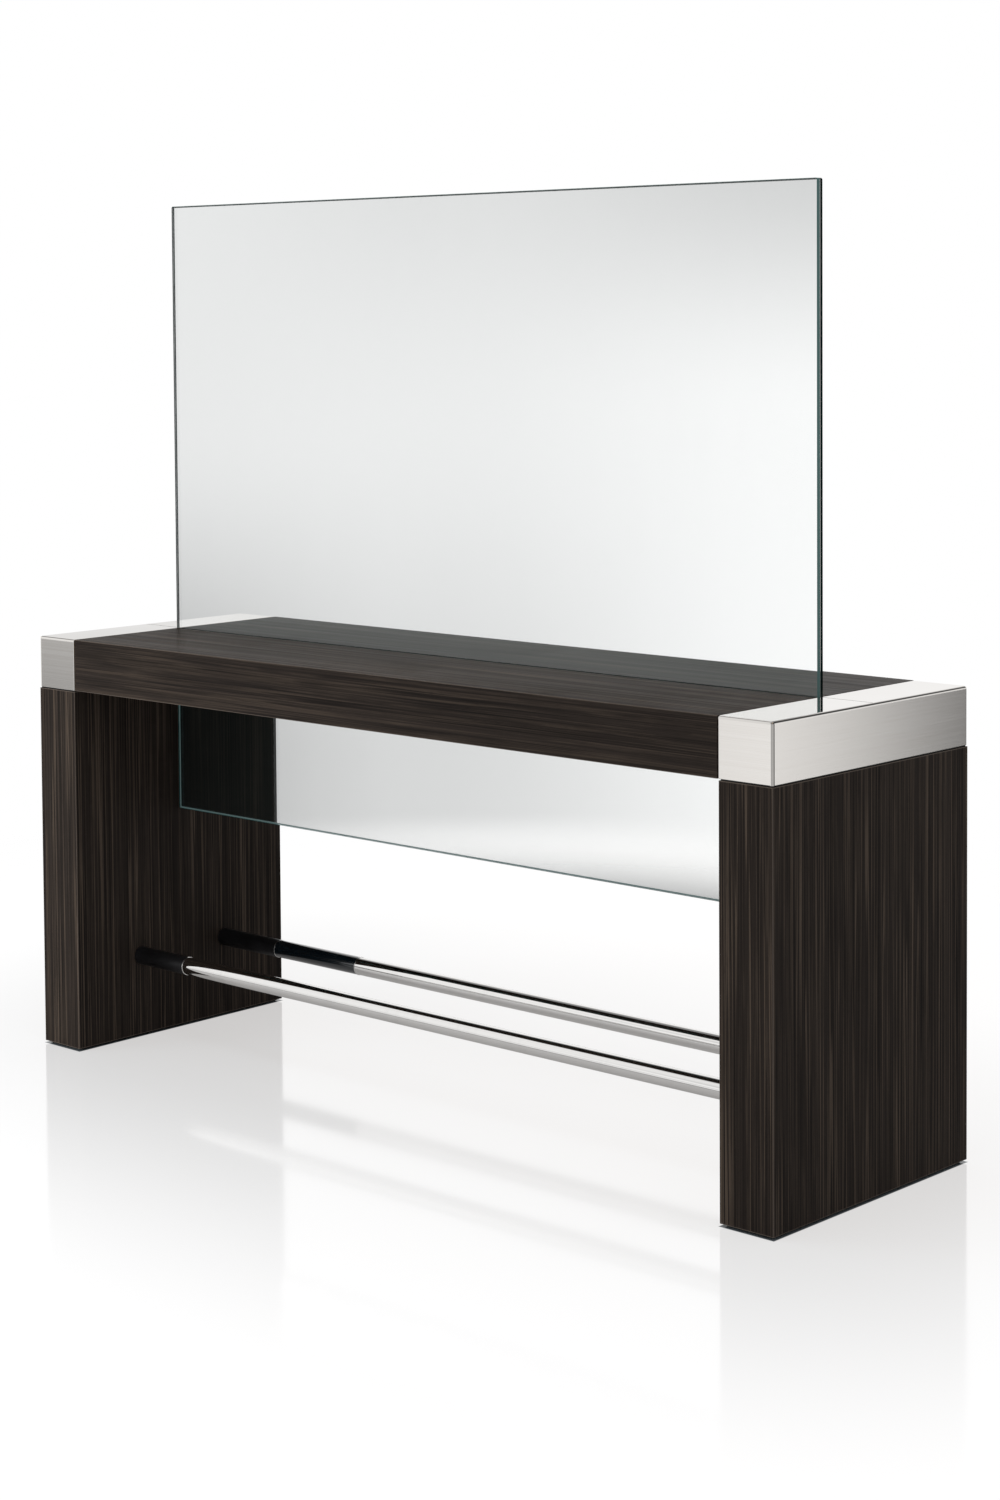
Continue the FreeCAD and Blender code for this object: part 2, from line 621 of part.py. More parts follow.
def mirror_sleeves():
    """Nylon sleeves that keep the clamp bolts off the glass."""
    body = new_body("mirror_sleeves")
    sketch = new_sketch(body, "XZ_Plane")
    circle(sketch, f"-{CLAMP_REACH}", BEAM_MIDDLE, "sleeve_diameter / 2")
    circle(sketch, f"-{CLAMP_REACH}", BEAM_MIDDLE, "clamp_diameter / 2 + sleeve_bore_gap")
    sleeve = extrude(body, sketch, f"2 * {MIRROR_FACE}", symmetric=True)
    repeat_along_x(body, [sleeve], CLAMP_REACH, CLAMP_COUNT)


def clamp_bolts():
    """Hexagon bolts from front to back through both tubes and the mirror."""
    body = new_body("mirror_clamp_bolts")
    head = new_sketch(body, "XZ_Plane", TUBE_FAR)
    hexagon(head, f"-{CLAMP_REACH}", BEAM_MIDDLE, "clamp_flats")
    shank = new_sketch(body, "XZ_Plane", f"-{TUBE_FAR} - clamp_nut - clamp_end")
    circle(shank, f"-{CLAMP_REACH}", BEAM_MIDDLE, "clamp_diameter / 2")
    solid_head = extrude(body, head, "clamp_head")
    solid_shank = extrude(body, shank, f"2 * {TUBE_FAR} + clamp_nut + clamp_end")
    repeat_along_x(body, [solid_head, solid_shank], CLAMP_REACH, CLAMP_COUNT)


def clamp_nuts():
    body = new_body("mirror_clamp_nuts")
    sketch = new_sketch(body, "XZ_Plane", f"-{TUBE_FAR} - clamp_nut")
    hexagon(sketch, f"-{CLAMP_REACH}", BEAM_MIDDLE, "clamp_flats")
    circle(sketch, f"-{CLAMP_REACH}", BEAM_MIDDLE, "clamp_diameter / 2 + nut_gap")
    nut = extrude(body, sketch, "clamp_nut")
    repeat_along_x(body, [nut], CLAMP_REACH, CLAMP_COUNT)


# ------------------------------------------------------------------ foot rails
def foot_rail(face, way):
    """A polished tube from leg to leg. Its ends pass through the inner panels to the rail plates."""
    body = new_body(f"{face}_foot_rail")
    sketch = new_sketch(body, "YZ_Plane")
    for radius in ("rail_diameter / 2", "rail_diameter / 2 - rail_wall"):
        circle(sketch, f"{way} * {RAIL_ACROSS}", "rail_height", radius)
    extrude(body, sketch, f"2 * {CARRIER_NEAR}", symmetric=True)


def rail_carriers():
    """A plate across the posts of each leg, drilled for the plugs' bolts and for its own screws."""
    body = new_body("rail_carrier_plates")
    sketch = new_sketch(body, "XY_Plane", "rail_height - carrier_height / 2")
    for name, side in SIDES:
        rectangle(sketch, f"{side} * {CARRIER_NEAR}", f"-({POST_ACROSS} + post_width / 2)",
                  f"{side} * {POST_NEAR}", f"{POST_ACROSS} + post_width / 2")
    extrude(body, sketch, "carrier_height")
    drill_along_x(body, rail_spots(), BOLT_HOLE)
    drill_along_x(body, screw_spots(), SCREW_HOLE)


def rail_rings(label, start, length, outer, bore):
    """Round pieces on the foot rails' axes, at both legs."""
    body = new_body(label)
    sketch = new_sketch(body, "YZ_Plane", start)
    for across, up in rail_spots():
        circle(sketch, across, up, outer)
        circle(sketch, across, up, bore)
    rings = extrude(body, sketch, length)
    mirror_to_left(body, [rings])


def bolts_along_x(label, spots, seat, head_height, grip, outward, diameter, head_outline):
    """Bolts of both legs. A head stands on its seat, and its shank points outward or to the middle."""
    body = new_body(label)
    heads = new_sketch(body, "YZ_Plane", f"{seat} - {head_height}" if outward else seat)
    shanks = new_sketch(body, "YZ_Plane", seat if outward else f"{seat} - ({grip})")
    for across, up in spots:
        head_outline(heads, across, up)
        circle(shanks, across, up, f"{diameter} / 2")
    head = extrude(body, heads, head_height)
    shank = extrude(body, shanks, grip)
    mirror_to_left(body, [head, shank])


def hexagon_head(sketch, across, up):
    hexagon(sketch, across, up, "bolt_flats")


def round_head(sketch, across, up):
    circle(sketch, across, up, "screw_head_diameter / 2")


# ------------------------------------------------------------------ levelling feet
def nut_blocks():
    """Threaded blocks on the base plates, one over each foot."""
    body = new_body("foot_nut_blocks")
    sketch = new_sketch(body, "XY_Plane", LEG_BOTTOM)
    for name, side in SIDES:
        for face, way in FACES:
            middle, across = f"{side} * {LEG_MIDDLE}", f"{way} * {FOOT_ACROSS}"
            square(sketch, middle, across, "block_width / 2")
            circle(sketch, middle, across, "stud_diameter / 2 + stud_gap")
    extrude(body, sketch, "block_height")


def levelling_foot(name, side, face, way):
    """A pad with a stud that screws up into its nut block. It is drawn fully in."""
    middle, across = f"{side} * {LEG_MIDDLE}", f"{way} * {FOOT_ACROSS}"
    pad_height = f"({LEG_BOTTOM} - pad_seat_gap)"
    pad = new_body(f"{name}_{face}_foot_pad")
    stud = new_body(f"{name}_{face}_foot_stud")
    for body in (pad, stud):
        body.setExpression("Placement.Base.x", sized(middle))
        body.setExpression("Placement.Base.y", sized(across))
    disc = new_sketch(pad, "XY_Plane")
    circle(disc, "0", "0", "pad_diameter / 2")
    block = extrude(pad, disc, pad_height)
    dress_edges(pad, "Fillet", edges_where(block, lambda box: near(box.ZMax, "0")), "Radius", "pad_edge")
    socket = new_sketch(pad, "XY_Plane", f"{pad_height} - stud_seat")
    circle(socket, "0", "0", "stud_diameter / 2 + stud_gap")
    cut_along_normal(pad, socket, "stud_seat")
    stud.setExpression("Placement.Base.z", sized(f"{pad_height} - stud_seat"))
    rod = new_sketch(stud, "XY_Plane")
    circle(rod, "0", "0", "stud_diameter / 2")
    shank = extrude(stud, rod, "stud_length")
    end = edges_where(shank, lambda box: near(box.ZMin, "stud_length"))
    dress_edges(stud, "Chamfer", end, "Size", "pad_edge")


# ------------------------------------------------------------------ the station, from the floor up
for side_name, side_sign in SIDES:
    for face_name, face_sign in FACES:
        levelling_foot(side_name, side_sign, face_name, face_sign)
    base_plate(side_name, side_sign)
    leg_posts(side_name, side_sign)
    leg_casing(side_name, side_sign)
    gap_spacer(side_name, side_sign)
    cap_core(side_name, side_sign)
    end_cap(side_name, side_sign)
nut_blocks()
leg_battens()
head_rails()
beam_end_plates()
bolts_along_x("beam_end_bolts", end_bolt_spots(), PLATE_NEAR, "bolt_head", "end_plate + bolt_grip", True,
              "bolt_diameter", hexagon_head)
rail_carriers()
rail_rings("rail_spigots", f"{CARRIER_NEAR} - spigot_length", "spigot_length",
           "rail_diameter / 2 - rail_wall - spigot_gap", "bolt_diameter / 2 + bolt_thread_gap")
rail_rings("rail_collars", f"{LEG_INNER} - collar_thickness", "collar_thickness",
           f"{RAIL_HOLE} + collar_width", RAIL_HOLE)
bolts_along_x("rail_bolts", rail_spots(), POST_NEAR, "bolt_head", "carrier_thickness + bolt_grip", False,
              "bolt_diameter", hexagon_head)
bolts_along_x("carrier_screws", screw_spots(), CARRIER_NEAR, "screw_head", "carrier_thickness + screw_grip",
              True, "screw_diameter", round_head)
for face_name, face_sign in FACES:
    foot_rail(face_name, face_sign)
    worktop_tube(face_name, face_sign)
    worktop_box(face_name, face_sign)
    mirror_gasket(face_name, face_sign)
    mirror_pane(face_name, face_sign)
soffit_screws()
mirror_bond()
mirror_sleeves()
clamp_bolts()
clamp_nuts()
document.recompute()


# ------------------------------------------------------------------ checks, then a STEP file for each piece
for item in document.Objects:
    if "Invalid" in item.State or "Error" in item.State:
        raise RuntimeError(f"{item.Label} failed: {item.State}")
    if item.TypeId == "PartDesign::Pocket" and item.Shape.Volume >= item.BaseFeature.Shape.Volume:
        raise RuntimeError(f"{item.Label} cuts nothing")
for piece in pieces:
    if piece.Shape.isNull() or not piece.Shape.isValid() or not piece.Shape.Solids:
        raise RuntimeError(f"{piece.Label} has no valid solid")

os.makedirs("parts", exist_ok=True)
for piece in pieces:
    piece.Shape.exportStep(f"parts/{piece.Label}.step")
print(f"{len(pieces)} pieces, {sum(len(piece.Shape.Solids) for piece in pieces)} solids")
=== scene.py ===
"""Looks of a double sided salon station: dark veneer, stainless caps, a two faced mirror and chromed rails.

Metres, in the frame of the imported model: +X along the station, +Y to its back, +Z up from the floor.
"""
import math

import bmesh
import bpy
from mathutils import Matrix, Vector


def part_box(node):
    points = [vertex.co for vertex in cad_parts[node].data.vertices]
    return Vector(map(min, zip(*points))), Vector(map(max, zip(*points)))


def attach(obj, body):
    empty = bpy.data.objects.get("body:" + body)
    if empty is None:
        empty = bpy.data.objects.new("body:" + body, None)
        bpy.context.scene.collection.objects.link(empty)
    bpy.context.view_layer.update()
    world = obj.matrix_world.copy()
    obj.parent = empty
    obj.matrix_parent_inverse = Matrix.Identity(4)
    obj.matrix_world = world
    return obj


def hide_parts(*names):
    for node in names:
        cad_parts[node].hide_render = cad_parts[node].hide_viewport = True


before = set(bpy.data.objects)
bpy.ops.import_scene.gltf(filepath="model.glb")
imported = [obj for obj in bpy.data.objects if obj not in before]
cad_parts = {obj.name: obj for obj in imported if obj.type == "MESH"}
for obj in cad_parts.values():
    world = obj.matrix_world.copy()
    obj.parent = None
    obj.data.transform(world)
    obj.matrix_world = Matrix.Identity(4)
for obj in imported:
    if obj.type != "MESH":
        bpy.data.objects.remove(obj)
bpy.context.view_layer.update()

# ------------------------------------------------------------------ camera
# It stands off the station's right front corner, a little under the mirror's top, and looks slightly
# down. The shift keeps the uprights nearly parallel, as a shift lens does.
CAMERA_PLACE = (3.8809, -4.1141, 1.6049)
CAMERA_TURN, CAMERA_TILT, CAMERA_ROLL = 42.612, -3.0, -0.389
camera = bpy.data.objects.new("camera", bpy.data.cameras.new("camera"))
bpy.context.scene.collection.objects.link(camera)
bpy.context.scene.camera = camera
bpy.context.scene.view_settings.view_transform = "Standard"
camera.data.lens = 67.39
camera.data.shift_y = -0.1954
aim = (
    Matrix.Rotation(math.radians(CAMERA_TURN), 4, "Z")
    @ Matrix.Rotation(math.radians(90 + CAMERA_TILT), 4, "X")
    @ Matrix.Rotation(math.radians(CAMERA_ROLL), 4, "Z")
)
camera.matrix_world = Matrix.Translation(CAMERA_PLACE) @ aim


# ------------------------------------------------------------------ studio
# A white room with soft light from above and from the left. Diffuse surfaces see an even fill. Metal and
# glass see pale walls that turn greyer to the sides, and a darker ceiling, so that they show their shape.
def put(tree, kind, sockets=(), **settings):
    """A node with its settings, and with its inputs set to values or linked to outputs."""
    node = tree.nodes.new(kind)
    for name, value in settings.items():
        setattr(node, name, value)
    for name, value in dict(sockets).items():
        if isinstance(value, bpy.types.NodeSocket):
            tree.links.new(value, node.inputs[name])
        else:
            node.inputs[name].default_value = value
    return node


def calc(tree, operation, first, second=0.0, third=0.0):
    return put(tree, "ShaderNodeMath", {0: first, 1: second, 2: third}, operation=operation).outputs[0]


def ease(tree, value, start, end, low=0.0, high=1.0):
    """The value taken smoothly from one range to another, and held at its ends."""
    sockets = {"Value": value, "From Min": start, "From Max": end, "To Min": low, "To Max": high}
    return put(tree, "ShaderNodeMapRange", sockets, interpolation_type="SMOOTHSTEP").outputs["Result"]


def tint(tree, factor, first, second):
    """Two colours mixed by a factor."""
    node = put(tree, "ShaderNodeMix", {"Factor": factor}, data_type="RGBA")
    for socket, value in zip((node.inputs[6], node.inputs[7]), (first, second)):
        if isinstance(value, bpy.types.NodeSocket):
            tree.links.new(value, socket)
        else:
            socket.default_value = (*value, 1.0)
    return node.outputs[2]


def wall_tones(tree, turn, stops):
    """The walls' brightness round the room, from pairs of degrees and grey."""
    ramp = put(tree, "ShaderNodeValToRGB", {"Fac": turn})
    ramp.color_ramp.interpolation = "EASE"
    points = ramp.color_ramp.elements
    while len(points) < len(stops):
        points.new(0.5)
    for point, (degrees, grey) in zip(points, stops):
        point.position = (degrees + 180) / 360
        point.color = (grey, grey, grey, 1.0)
    return ramp.outputs["Color"]


world = bpy.data.worlds.new("studio")
bpy.context.scene.world = world
world.use_nodes = True
room = world.node_tree
outward = put(room, "ShaderNodeSeparateXYZ", {0: put(room, "ShaderNodeTexCoord").outputs["Generated"]})
turn = calc(room, "ARCTAN2", outward.outputs["Y"], outward.outputs["X"])
turn = put(room, "ShaderNodeMapRange", {"Value": turn, "From Min": -math.pi, "From Max": math.pi}).outputs[0]

# Each band has the sine of its height over the horizon, and then its greys at degrees round the room. The
# wall near the camera is the same up to the ceiling.
NEAR_SIDE = [(-104, 1.0), (-92, 0.42), (-40, 0.5), (2, 0.45), (12, 0.02), (32, 0.02), (42, 1.0)]
WALL_BANDS = [
    (-0.16, [(-172, 1.0), (-150, 0.9), (-143, 0.27), (-134, 0.72), (-126, 1.0), *NEAR_SIDE,
             (52.3, 1.0), (58.8, 0.0), (82, 0.3), (110, 0.9), (172, 1.0)]),
    (-0.04, [(-172, 1.0), (-150, 0.9), (-142, 0.84), (-134, 0.88), (-126, 1.0), *NEAR_SIDE,
             (52.3, 1.0), (58.8, 0.04), (82, 0.6), (100, 1.0), (160, 1.0)]),
    (0.06, [(-172, 1.0), (-150, 0.9), (-141, 0.86), (-134, 0.78), (-126, 0.67), *NEAR_SIDE,
            (60, 0.8), (100, 1.0), (160, 1.0)]),
    (0.14, [(-180, 0.9), (-141, 0.95), (-126, 0.95), *NEAR_SIDE, (60, 0.9), (100, 1.0), (132, 1.0),
            (140, 0.78), (165, 0.9)]),
    (0.28, [(-180, 0.9), (-141, 0.95), (-126, 0.95), *NEAR_SIDE, (60, 0.9), (100, 1.0), (165, 0.95)]),
    (0.42, [(-180, 0.28), (-160, 0.95), (-136, 0.95), (-126, 0.45), (-100, 0.2), (0, 0.05), (60, 0.03),
            (84, 0.2), (98, 1.0), (146, 1.0), (162, 0.28)]),
    (0.68, [(-180, 0.28), (-164, 0.9), (-140, 0.9), (-128, 0.45), (-100, 0.2), (0, 0.05), (60, 0.03),
            (112, 0.03), (132, 0.2), (165, 0.28)]),
    (0.86, [(-180, 0.4), (180, 0.4)]),
]
below, stops = WALL_BANDS[0]
walls = wall_tones(room, turn, stops)
for height, stops in WALL_BANDS[1:]:
    rise = ease(room, outward.outputs["Z"], below, height)
    walls = tint(room, rise, walls, wall_tones(room, turn, stops))
    below = height
rays = put(room, "ShaderNodeLightPath").outputs
shiny = calc(room, "MAXIMUM", rays["Is Glossy Ray"], rays["Is Transmission Ray"])
fill = tint(room, shiny, (0.64, 0.64, 0.65), walls)
backdrop = tint(room, rays["Is Camera Ray"], fill, (1.0, 1.0, 1.0))
room.links.new(backdrop, room.nodes["Background"].inputs["Color"])


def soft_lamp(name, place, target, width, depth, watts):
    """A softbox that lights the station and isn't seen in its metal."""
    lamp = bpy.data.objects.new(name, bpy.data.lights.new(name, "AREA"))
    bpy.context.scene.collection.objects.link(lamp)
    lamp.data.shape = "RECTANGLE"
    lamp.data.size, lamp.data.size_y = width, depth
    lamp.data.energy = watts
    lamp.location = place
    lamp.rotation_mode = "QUATERNION"
    lamp.rotation_quaternion = (Vector(target) - Vector(place)).to_track_quat("-Z", "Y")
    lamp.visible_camera = lamp.visible_glossy = lamp.visible_transmission = False


soft_lamp("overhead_softbox", (-0.3, -0.9, 3.6), (0.0, 0.0, 0.6), 3.4, 2.4, 50)
soft_lamp("left_softbox", (-2.3, -2.4, 0.6), (-0.95, -0.3, 0.4), 1.2, 1.0, 47)


# The floor is a glossy white sheet that fades into the white room and can't be seen from below. It keeps
# the station's shadow, and its reflections are strongest close to the station. Most of its white is its
# own light, which is off under the legs, and dimmer where metal or glass sees it, dimmest within about two
# metres of the station: a painted shade round it. Its glow is warmer than its paint, so its shadows come
# out warm: a painted warm bounce.
def calc_vector(tree, operation, first, second=(0.0, 0.0, 0.0)):
    return put(tree, "ShaderNodeVectorMath", {0: first, 1: second}, operation=operation).outputs[0]


def new_material(name, **values):
    """A material with plain values set on its shader, whose names are the shader's own."""
    material = bpy.data.materials.new(name)
    material.use_nodes = True
    tree = material.node_tree
    shader = tree.nodes["Principled BSDF"]
    for socket, value in values.items():
        shader.inputs[socket.replace("_", " ")].default_value = value
    return material, tree, shader, put(tree, "ShaderNodeTexCoord").outputs["Object"]


FLOOR_RADIUS, FADES_FROM, FADES_TO = 3.4, 1.7, 3.3
LEG_MIDDLE, LEG_HALF = (0.941, 0.0, 0.39575), (0.059, 0.3, 0.39075)
STATION_HALF = (1.0, 0.3, 0.0)
# The paint the camera sees is cooler than the floor's glow, so where shadow takes the paint away the floor
# turns warm: a painted warm bounce.
SEEN_TONE, MIRRORED_TONE = (0.165, 0.19, 0.205), (0.25, 0.25, 0.25)
SEEN_GLOW = 0.885
floor_mesh = bpy.data.meshes.new("studio_floor")
disc = bmesh.new()
bmesh.ops.create_circle(disc, cap_ends=True, segments=96, radius=FLOOR_RADIUS)
disc.to_mesh(floor_mesh)
disc.free()
floor = bpy.data.objects.new("studio_floor", floor_mesh)
bpy.context.scene.collection.objects.link(floor)
floor_sheet, tree, shader, place = new_material("white_floor_sheet")
tree.nodes.remove(shader)
mottle = put(tree, "ShaderNodeTexNoise", {"Vector": place, "Scale": 1.7, "Detail": 3.0}).outputs["Fac"]
off_middle = calc_vector(tree, "ABSOLUTE", place)
across = put(tree, "ShaderNodeSeparateXYZ", {0: off_middle}).outputs
off_leg = calc(tree, "ABSOLUTE", calc(tree, "SUBTRACT", across["X"], LEG_MIDDLE[0]))
off_leg = calc(tree, "SUBTRACT", off_leg, LEG_HALF[0])
off_leg = calc(tree, "MAXIMUM", off_leg, calc(tree, "SUBTRACT", across["Y"], LEG_HALF[1]))
in_open = ease(tree, off_leg, 0.0, 0.003)
off_sides = calc_vector(tree, "SUBTRACT", off_middle, STATION_HALF)
off_sides = calc_vector(tree, "MAXIMUM", off_sides, (0.0, 0.0, 0.0))
from_station = put(tree, "ShaderNodeVectorMath", {0: off_sides}, operation="LENGTH").outputs["Value"]
rays = put(tree, "ShaderNodeLightPath").outputs
seen = rays["Is Camera Ray"]
mirrored = calc(tree, "MAXIMUM", rays["Is Glossy Ray"], rays["Is Transmission Ray"])
white = tint(tree, mottle, (0.88, 0.88, 0.88), (0.91, 0.91, 0.91))
white = tint(tree, seen, tint(tree, mirrored, white, MIRRORED_TONE), SEEN_TONE)
paint = put(tree, "ShaderNodeBsdfDiffuse", {"Color": white})
# As metal and glass see it, the floor's glow is low from the station out to about two metres: a painted shade
# round the station.
mirrored_glow = calc(tree, "ADD", ease(tree, from_station, 0.0, 1.0, 0.25, 0.03),
                     ease(tree, from_station, 1.3, 2.2, 0.0, 0.7))
mirrored_glow = calc(tree, "MULTIPLY", mirrored, mirrored_glow)
own_light = calc(tree, "MULTIPLY_ADD", seen, SEEN_GLOW, mirrored_glow)
own_light = calc(tree, "MULTIPLY", in_open, own_light)
# The glow's warm colour against the cooler paint makes warm shadows: a painted warm bounce.
glow = put(tree, "ShaderNodeEmission", {"Color": (1.0, 0.972, 0.955, 1.0), "Strength": own_light})
sheet = put(tree, "ShaderNodeAddShader", {0: paint.outputs[0], 1: glow.outputs[0]})
gloss = put(tree, "ShaderNodeBsdfGlossy", {"Roughness": ease(tree, mottle, 0.3, 0.7, 0.07, 0.10)})
mirroring = calc(tree, "MULTIPLY", put(tree, "ShaderNodeFresnel", {"IOR": 1.42}).outputs[0],
                 ease(tree, from_station, 0.0, 1.2, 1.35, 0.06))
lacquered = put(tree, "ShaderNodeMixShader", {0: mirroring, 1: sheet.outputs[0], 2: gloss.outputs[0]})
distance = put(tree, "ShaderNodeVectorMath", {0: place}, operation="LENGTH").outputs["Value"]
from_below = put(tree, "ShaderNodeNewGeometry").outputs["Backfacing"]
clear = calc(tree, "MAXIMUM", ease(tree, distance, FADES_FROM, FADES_TO), from_below)
nothing = put(tree, "ShaderNodeBsdfTransparent")
faded = put(tree, "ShaderNodeMixShader", {0: clear, 1: lacquered.outputs[0], 2: nothing.outputs[0]})
tree.links.new(faded.outputs[0], tree.nodes["Material Output"].inputs["Surface"])
floor.data.materials.append(floor_sheet)


# ------------------------------------------------------------------ levelling feet
# Moulded black nylon pads on zinc plated steel studs. They screw up into nut blocks inside the legs, and
# only the pads' rims are seen, in the gap under each leg.
def new_group(name, inputs, outputs):
    """A shader node group with named inputs and outputs. None leaves a socket's own default."""
    group = bpy.data.node_groups.new(name, "ShaderNodeTree")
    for label, (kind, value) in inputs.items():
        socket = group.interface.new_socket(label, in_out="INPUT", socket_type=f"NodeSocket{kind}")
        if value is not None:
            socket.default_value = value
    for label, kind in outputs.items():
        group.interface.new_socket(label, in_out="OUTPUT", socket_type=f"NodeSocket{kind}")
    return group, put(group, "NodeGroupInput").outputs, put(group, "NodeGroupOutput").inputs


def placed(tree, group, **sockets):
    """A shader node group in a material, with its inputs set."""
    node = tree.nodes.new("ShaderNodeGroup")
    node.node_tree = group
    for name, value in sockets.items():
        socket = node.inputs[name.replace("_", " ")]
        if isinstance(value, bpy.types.NodeSocket):
            tree.links.new(value, socket)
        else:
            socket.default_value = value
    return node.outputs


def noise(tree, vector, stretch, detail=2.0, roughness=0.5):
    """A noise that has its own scale along each axis."""
    spread = calc_vector(tree, "MULTIPLY", vector, stretch)
    sockets = {"Vector": spread, "Scale": 1.0, "Detail": detail, "Roughness": roughness}
    return put(tree, "ShaderNodeTexNoise", sockets).outputs["Fac"]


def add_bump(tree, shader, height, strength, distance):
    relief = put(tree, "ShaderNodeBump", {"Height": height, "Strength": strength, "Distance": distance})
    tree.links.new(relief.outputs[0], shader.inputs["Normal"])


def dress(material, *names):
    """Gives CAD nodes their material."""
    for name in names:
        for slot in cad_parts[name].material_slots:
            slot.link = "OBJECT"
            slot.material = material


# The fine texture of a moulded or powder coated surface: pebbles, and a slow change of tone.
pebbles, given, made = new_group("pebbled_skin", {"Vector": ("Vector", None), "Size": ("Float", 900.0)},
                                 {"Height": "Float", "Tone": "Float"})
spread = put(pebbles, "ShaderNodeVectorMath", {0: given["Vector"], "Scale": given["Size"]}, operation="SCALE")
cells = put(pebbles, "ShaderNodeTexVoronoi", {"Vector": spread.outputs[0], "Scale": 1.0}, feature="SMOOTH_F1")
pebbles.links.new(cells.outputs["Distance"], made["Height"])
pebbles.links.new(noise(pebbles, given["Vector"], (18.0, 18.0, 18.0), 4.0), made["Tone"])


def skin(name, dark, pale, rough, size, depth):
    """A pebbled material between two tones."""
    material, tree, shader, place = new_material(name)
    look = placed(tree, pebbles, Vector=place, Size=size)
    tree.links.new(tint(tree, ease(tree, look["Tone"], 0.3, 0.7), dark, pale), shader.inputs["Base Color"])
    tree.links.new(ease(tree, look["Tone"], 0.3, 0.7, *rough), shader.inputs["Roughness"])
    add_bump(tree, shader, look["Height"], 0.3, depth)
    return material


FEET = ("left_front_foot", "left_rear_foot", "right_front_foot", "right_rear_foot")
dress(skin("moulded_nylon", (0.010, 0.010, 0.011), (0.018, 0.018, 0.019), (0.42, 0.55), 1400.0, 0.00005),
      *(f"{foot}_pad" for foot in FEET), "mirror_sleeves")

plated_zinc, tree, shader, place = new_material("zinc_plate", Metallic=1.0)
bloom = noise(tree, place, (90.0, 90.0, 90.0), 4.0, 0.7)
turned = noise(tree, place, (60.0, 60.0, 1500.0), 1.0)
tree.links.new(tint(tree, ease(tree, bloom, 0.35, 0.68), (0.42, 0.43, 0.44), (0.62, 0.62, 0.60)),
               shader.inputs["Base Color"])
tree.links.new(ease(tree, bloom, 0.35, 0.68, 0.24, 0.42), shader.inputs["Roughness"])
add_bump(tree, shader, turned, 0.4, 0.0001)
dress(plated_zinc, *(f"{foot}_stud" for foot in FEET), "beam_end_bolts", "carrier_screws", "rail_bolts",
      "rail_spigots", "mirror_clamp_bolts", "mirror_clamp_nuts")

# ------------------------------------------------------------------ steel frame
# Welded square tube and plate, powder coated dark grey, all of it inside the legs and the worktop box.
# The plates that each leg stands on, and the ones that part it from its cap, are black.
dress(skin("grey_powder_coat", (0.034, 0.034, 0.036), (0.050, 0.050, 0.052), (0.45, 0.6), 1100.0, 0.00008),
      "left_leg_posts", "right_leg_posts", "head_rails", "beam_end_plates", "front_worktop_tube",
      "rear_worktop_tube", "foot_nut_blocks", "rail_carrier_plates")
dress(skin("black_powder_coat", (0.003, 0.003, 0.003), (0.006, 0.006, 0.006), (0.6, 0.75), 1100.0, 0.00008),
      "left_base_plate", "right_base_plate", "left_gap_spacer", "right_gap_spacer")

# ------------------------------------------------------------------ plywood
# Birch plywood ribs, spreaders and cap formers, cut on a saw and left raw. The plies show as bands.
plywood, tree, shader, place = new_material("birch_plywood", Roughness=0.7)
plies = put(tree, "ShaderNodeTexWave", {"Vector": place, "Scale": 110.0, "Distortion": 0.6, "Detail": 2.0},
            bands_direction="DIAGONAL")
fibres = noise(tree, place, (240.0, 40.0, 240.0), 4.0, 0.6)
pale = tint(tree, ease(tree, fibres, 0.3, 0.7), (0.50, 0.36, 0.22), (0.66, 0.51, 0.34))
tree.links.new(tint(tree, calc(tree, "MULTIPLY", plies.outputs["Fac"], 0.55), pale, (0.33, 0.21, 0.12)),
               shader.inputs["Base Color"])
add_bump(tree, shader, fibres, 0.3, 0.0002)
dress(plywood, "front_worktop_ribs", "rear_worktop_ribs", "leg_battens", "left_cap_core", "right_cap_core")

# ------------------------------------------------------------------ leg casings and worktop box
# Boards faced with reconstructed wenge veneer under a satin lacquer, mitred so that no edge shows. The
# grain stands upright on the legs and runs along the station on the worktop box.
figure, given, made = new_group(
    "veneer_figure", {"Vector": ("Vector", None), "Warmth": ("Float", 1.0), "Fading": ("Float", 0.0)},
    {"Color": "Color", "Roughness": "Float", "Height": "Float"})
GRAIN_DRIFT = 0.005
drift = calc(figure, "SUBTRACT", noise(figure, given["Vector"], (3.0, 3.0, 1.0), 1.0), 0.5)
drift = calc(figure, "MULTIPLY", drift, GRAIN_DRIFT)
drift = put(figure, "ShaderNodeCombineXYZ", {"X": drift, "Y": drift}).outputs[0]
grain_place = calc_vector(figure, "ADD", given["Vector"], drift)


def grain_lines(spacing, length, width, strength):
    """Thin lines along the grain, where a drawn out noise crosses its middle. Each fades in and out."""
    level = noise(figure, grain_place, (1 / spacing, 1 / spacing, 1 / length), 1.0)
    line = ease(figure, calc(figure, "ABSOLUTE", calc(figure, "SUBTRACT", level, 0.5)), width, width * 0.2)
    dashes = noise(figure, grain_place, (0.3 / spacing, 0.3 / spacing, 4.5 / length), 2.0)
    return calc(figure, "MULTIPLY", line, ease(figure, dashes, 0.34, 0.62, 0.25 * strength, strength))


